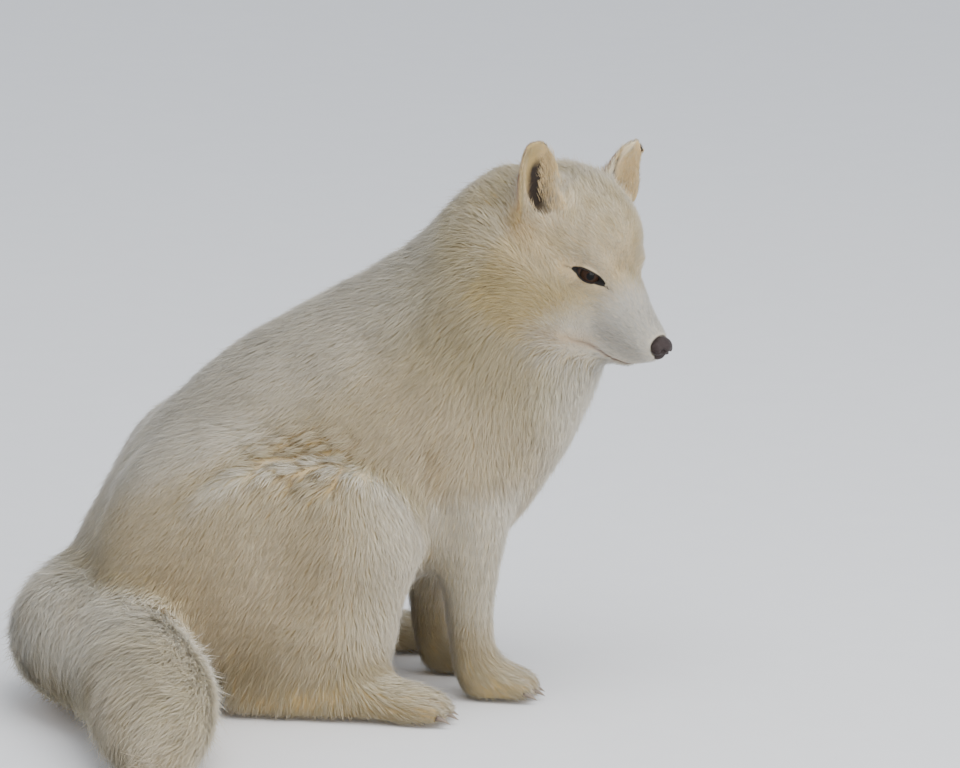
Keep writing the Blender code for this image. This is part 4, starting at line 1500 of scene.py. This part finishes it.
def whiskers():
    """Three short rows of thin hairs on each side of the muzzle."""
    rows = []
    for side in (RIGHT, LEFT):
        for row in range(3):
            for k in range(3):
                root = head_point(4.9 - 0.6 * k - 0.15 * row, side * 1.7, -2.35 - 0.42 * row)
                out = (-0.55 - 0.1 * k, side * (0.85 - 0.05 * k), 0.10 - 0.16 * row)
                length_ = (2.8 + 0.8 * k + rng.uniform(-0.4, 0.4)) * CM
                rows.append((root, turned(out, HEAD), (0, 0, -0.14), length_, 0.065 * MM))
    look = horn_finish("whisker", (0.20, 0.16, 0.13), (0.50, 0.46, 0.40))
    hairs("whiskers", look, rows)


def lashes():
    """A row of short hairs along each upper lid."""
    rows, count = [], 14
    for side in (RIGHT, LEFT):
        to_row = eye_frame(side)
        for k in range(count):
            y = 1.15 - 1.5 * k / (count - 1)
            z = 0.40 * max(1 - (y / LID_HALF_LENGTH) ** 2, 0) ** 0.75
            out = math.sqrt(max((EYE_RADIUS + 0.1) ** 2 - (y - 0.1) ** 2 - z * z, 0.01)) + BALL_IN_EYE[0]
            way = turned((0.75, 0.25 + 0.3 * y, 0.15 + 0.2 * rng.random()), to_row)
            root = to_row @ Vector((out - 0.03, y, z))
            rows.append((root, way, (0, 0, -0.25), rng.uniform(2.0, 3.4) * MM, 0.12 * MM))
    look = horn_finish("lash", (0.03, 0.025, 0.02), (0.12, 0.09, 0.06))
    hairs("eyelashes", look, rows, sides=3, steps=3)


def claws():
    """Four claws on each foot, which start inside the toes and bend down ahead of them."""
    rows = []
    for foot in FEET:
        tip, centre, half = toes_of(foot)
        for k in range(4):
            lateral = (k - 1.5) * 0.5
            root = (tip - 0.95 * CM - 1.0 * CM * lateral**2, centre + lateral * half, 0.72 * CM)
            way = unit(np.array((1.0, 0.25 * lateral, 0.0)))
            rows.append((root, way, (0, 0, -0.45), 0.95 * CM, 2.2 * MM))
    look = horn_finish("claw_horn", (0.10, 0.07, 0.05), (0.25, 0.20, 0.15))
    hairs("claws", look, rows, sides=8, steps=7)


skin_tree = BVHTree.FromPolygons([v.co for v in skin.data.vertices], [p.vertices for p in skin.data.polygons])
whiskers()
lashes()
claws()


# ---------------------------------------------------------------- stage


def stage():
    bm = bmesh.new()
    bmesh.ops.create_circle(bm, cap_ends=True, segments=64, radius=14)
    mesh = bpy.data.meshes.new("floor")
    bm.to_mesh(mesh)
    bm.free()
    mesh.materials.append(floor_finish())
    linked("floor", mesh)
    world = bpy.data.worlds.new("studio")
    world.use_nodes = True
    background = world.node_tree.nodes["Background"]
    background.inputs["Color"].default_value = (0.86, 0.90, 0.96, 1)
    background.inputs["Strength"].default_value = 1.0
    bpy.context.scene.world = world
    for name, at, aim, size, power, color in (
        ("overhead", (0.6, -0.9, 2.6), (0, 0, 0.2), 2.4, 70, (1.0, 0.985, 0.96)),
        ("front", (2.4, -1.4, 1.3), (0.1, 0, 0.2), 1.6, 22, (1.0, 0.99, 0.97)),
        ("low_fill", (0.9, -2.3, 0.35), (0.08, 0, 0.08), 1.4, 38, (1.0, 0.985, 0.95)),
    ):
        light = bpy.data.lights.new(name, "AREA")
        light.size, light.energy, light.color = size, power, color
        lamp = bpy.data.objects.new(name, light)
        bpy.context.scene.collection.objects.link(lamp)
        lamp.location = at
        lamp.rotation_euler = (Vector(aim) - Vector(at)).to_track_quat("-Z", "Y").to_euler()


CAMERA_AIM = Vector((0.0906, 0.0891, 0.1988))
CAMERA_RISE = math.radians(12)
CAMERA_DISTANCE = 5.13


def camera():
    """A long lens, a little above the fox and square to its side."""
    ahead = Vector((0, math.cos(CAMERA_RISE), -math.sin(CAMERA_RISE)))
    lens = bpy.data.cameras.new("camera")
    lens.lens, lens.sensor_width = 300, 36
    lens.clip_end = 100
    made = bpy.data.objects.new("camera", lens)
    bpy.context.scene.collection.objects.link(made)
    made.location = CAMERA_AIM - ahead * CAMERA_DISTANCE
    made.rotation_euler = ahead.to_track_quat("-Z", "Y").to_euler()
    bpy.context.scene.camera = made


stage()
camera()
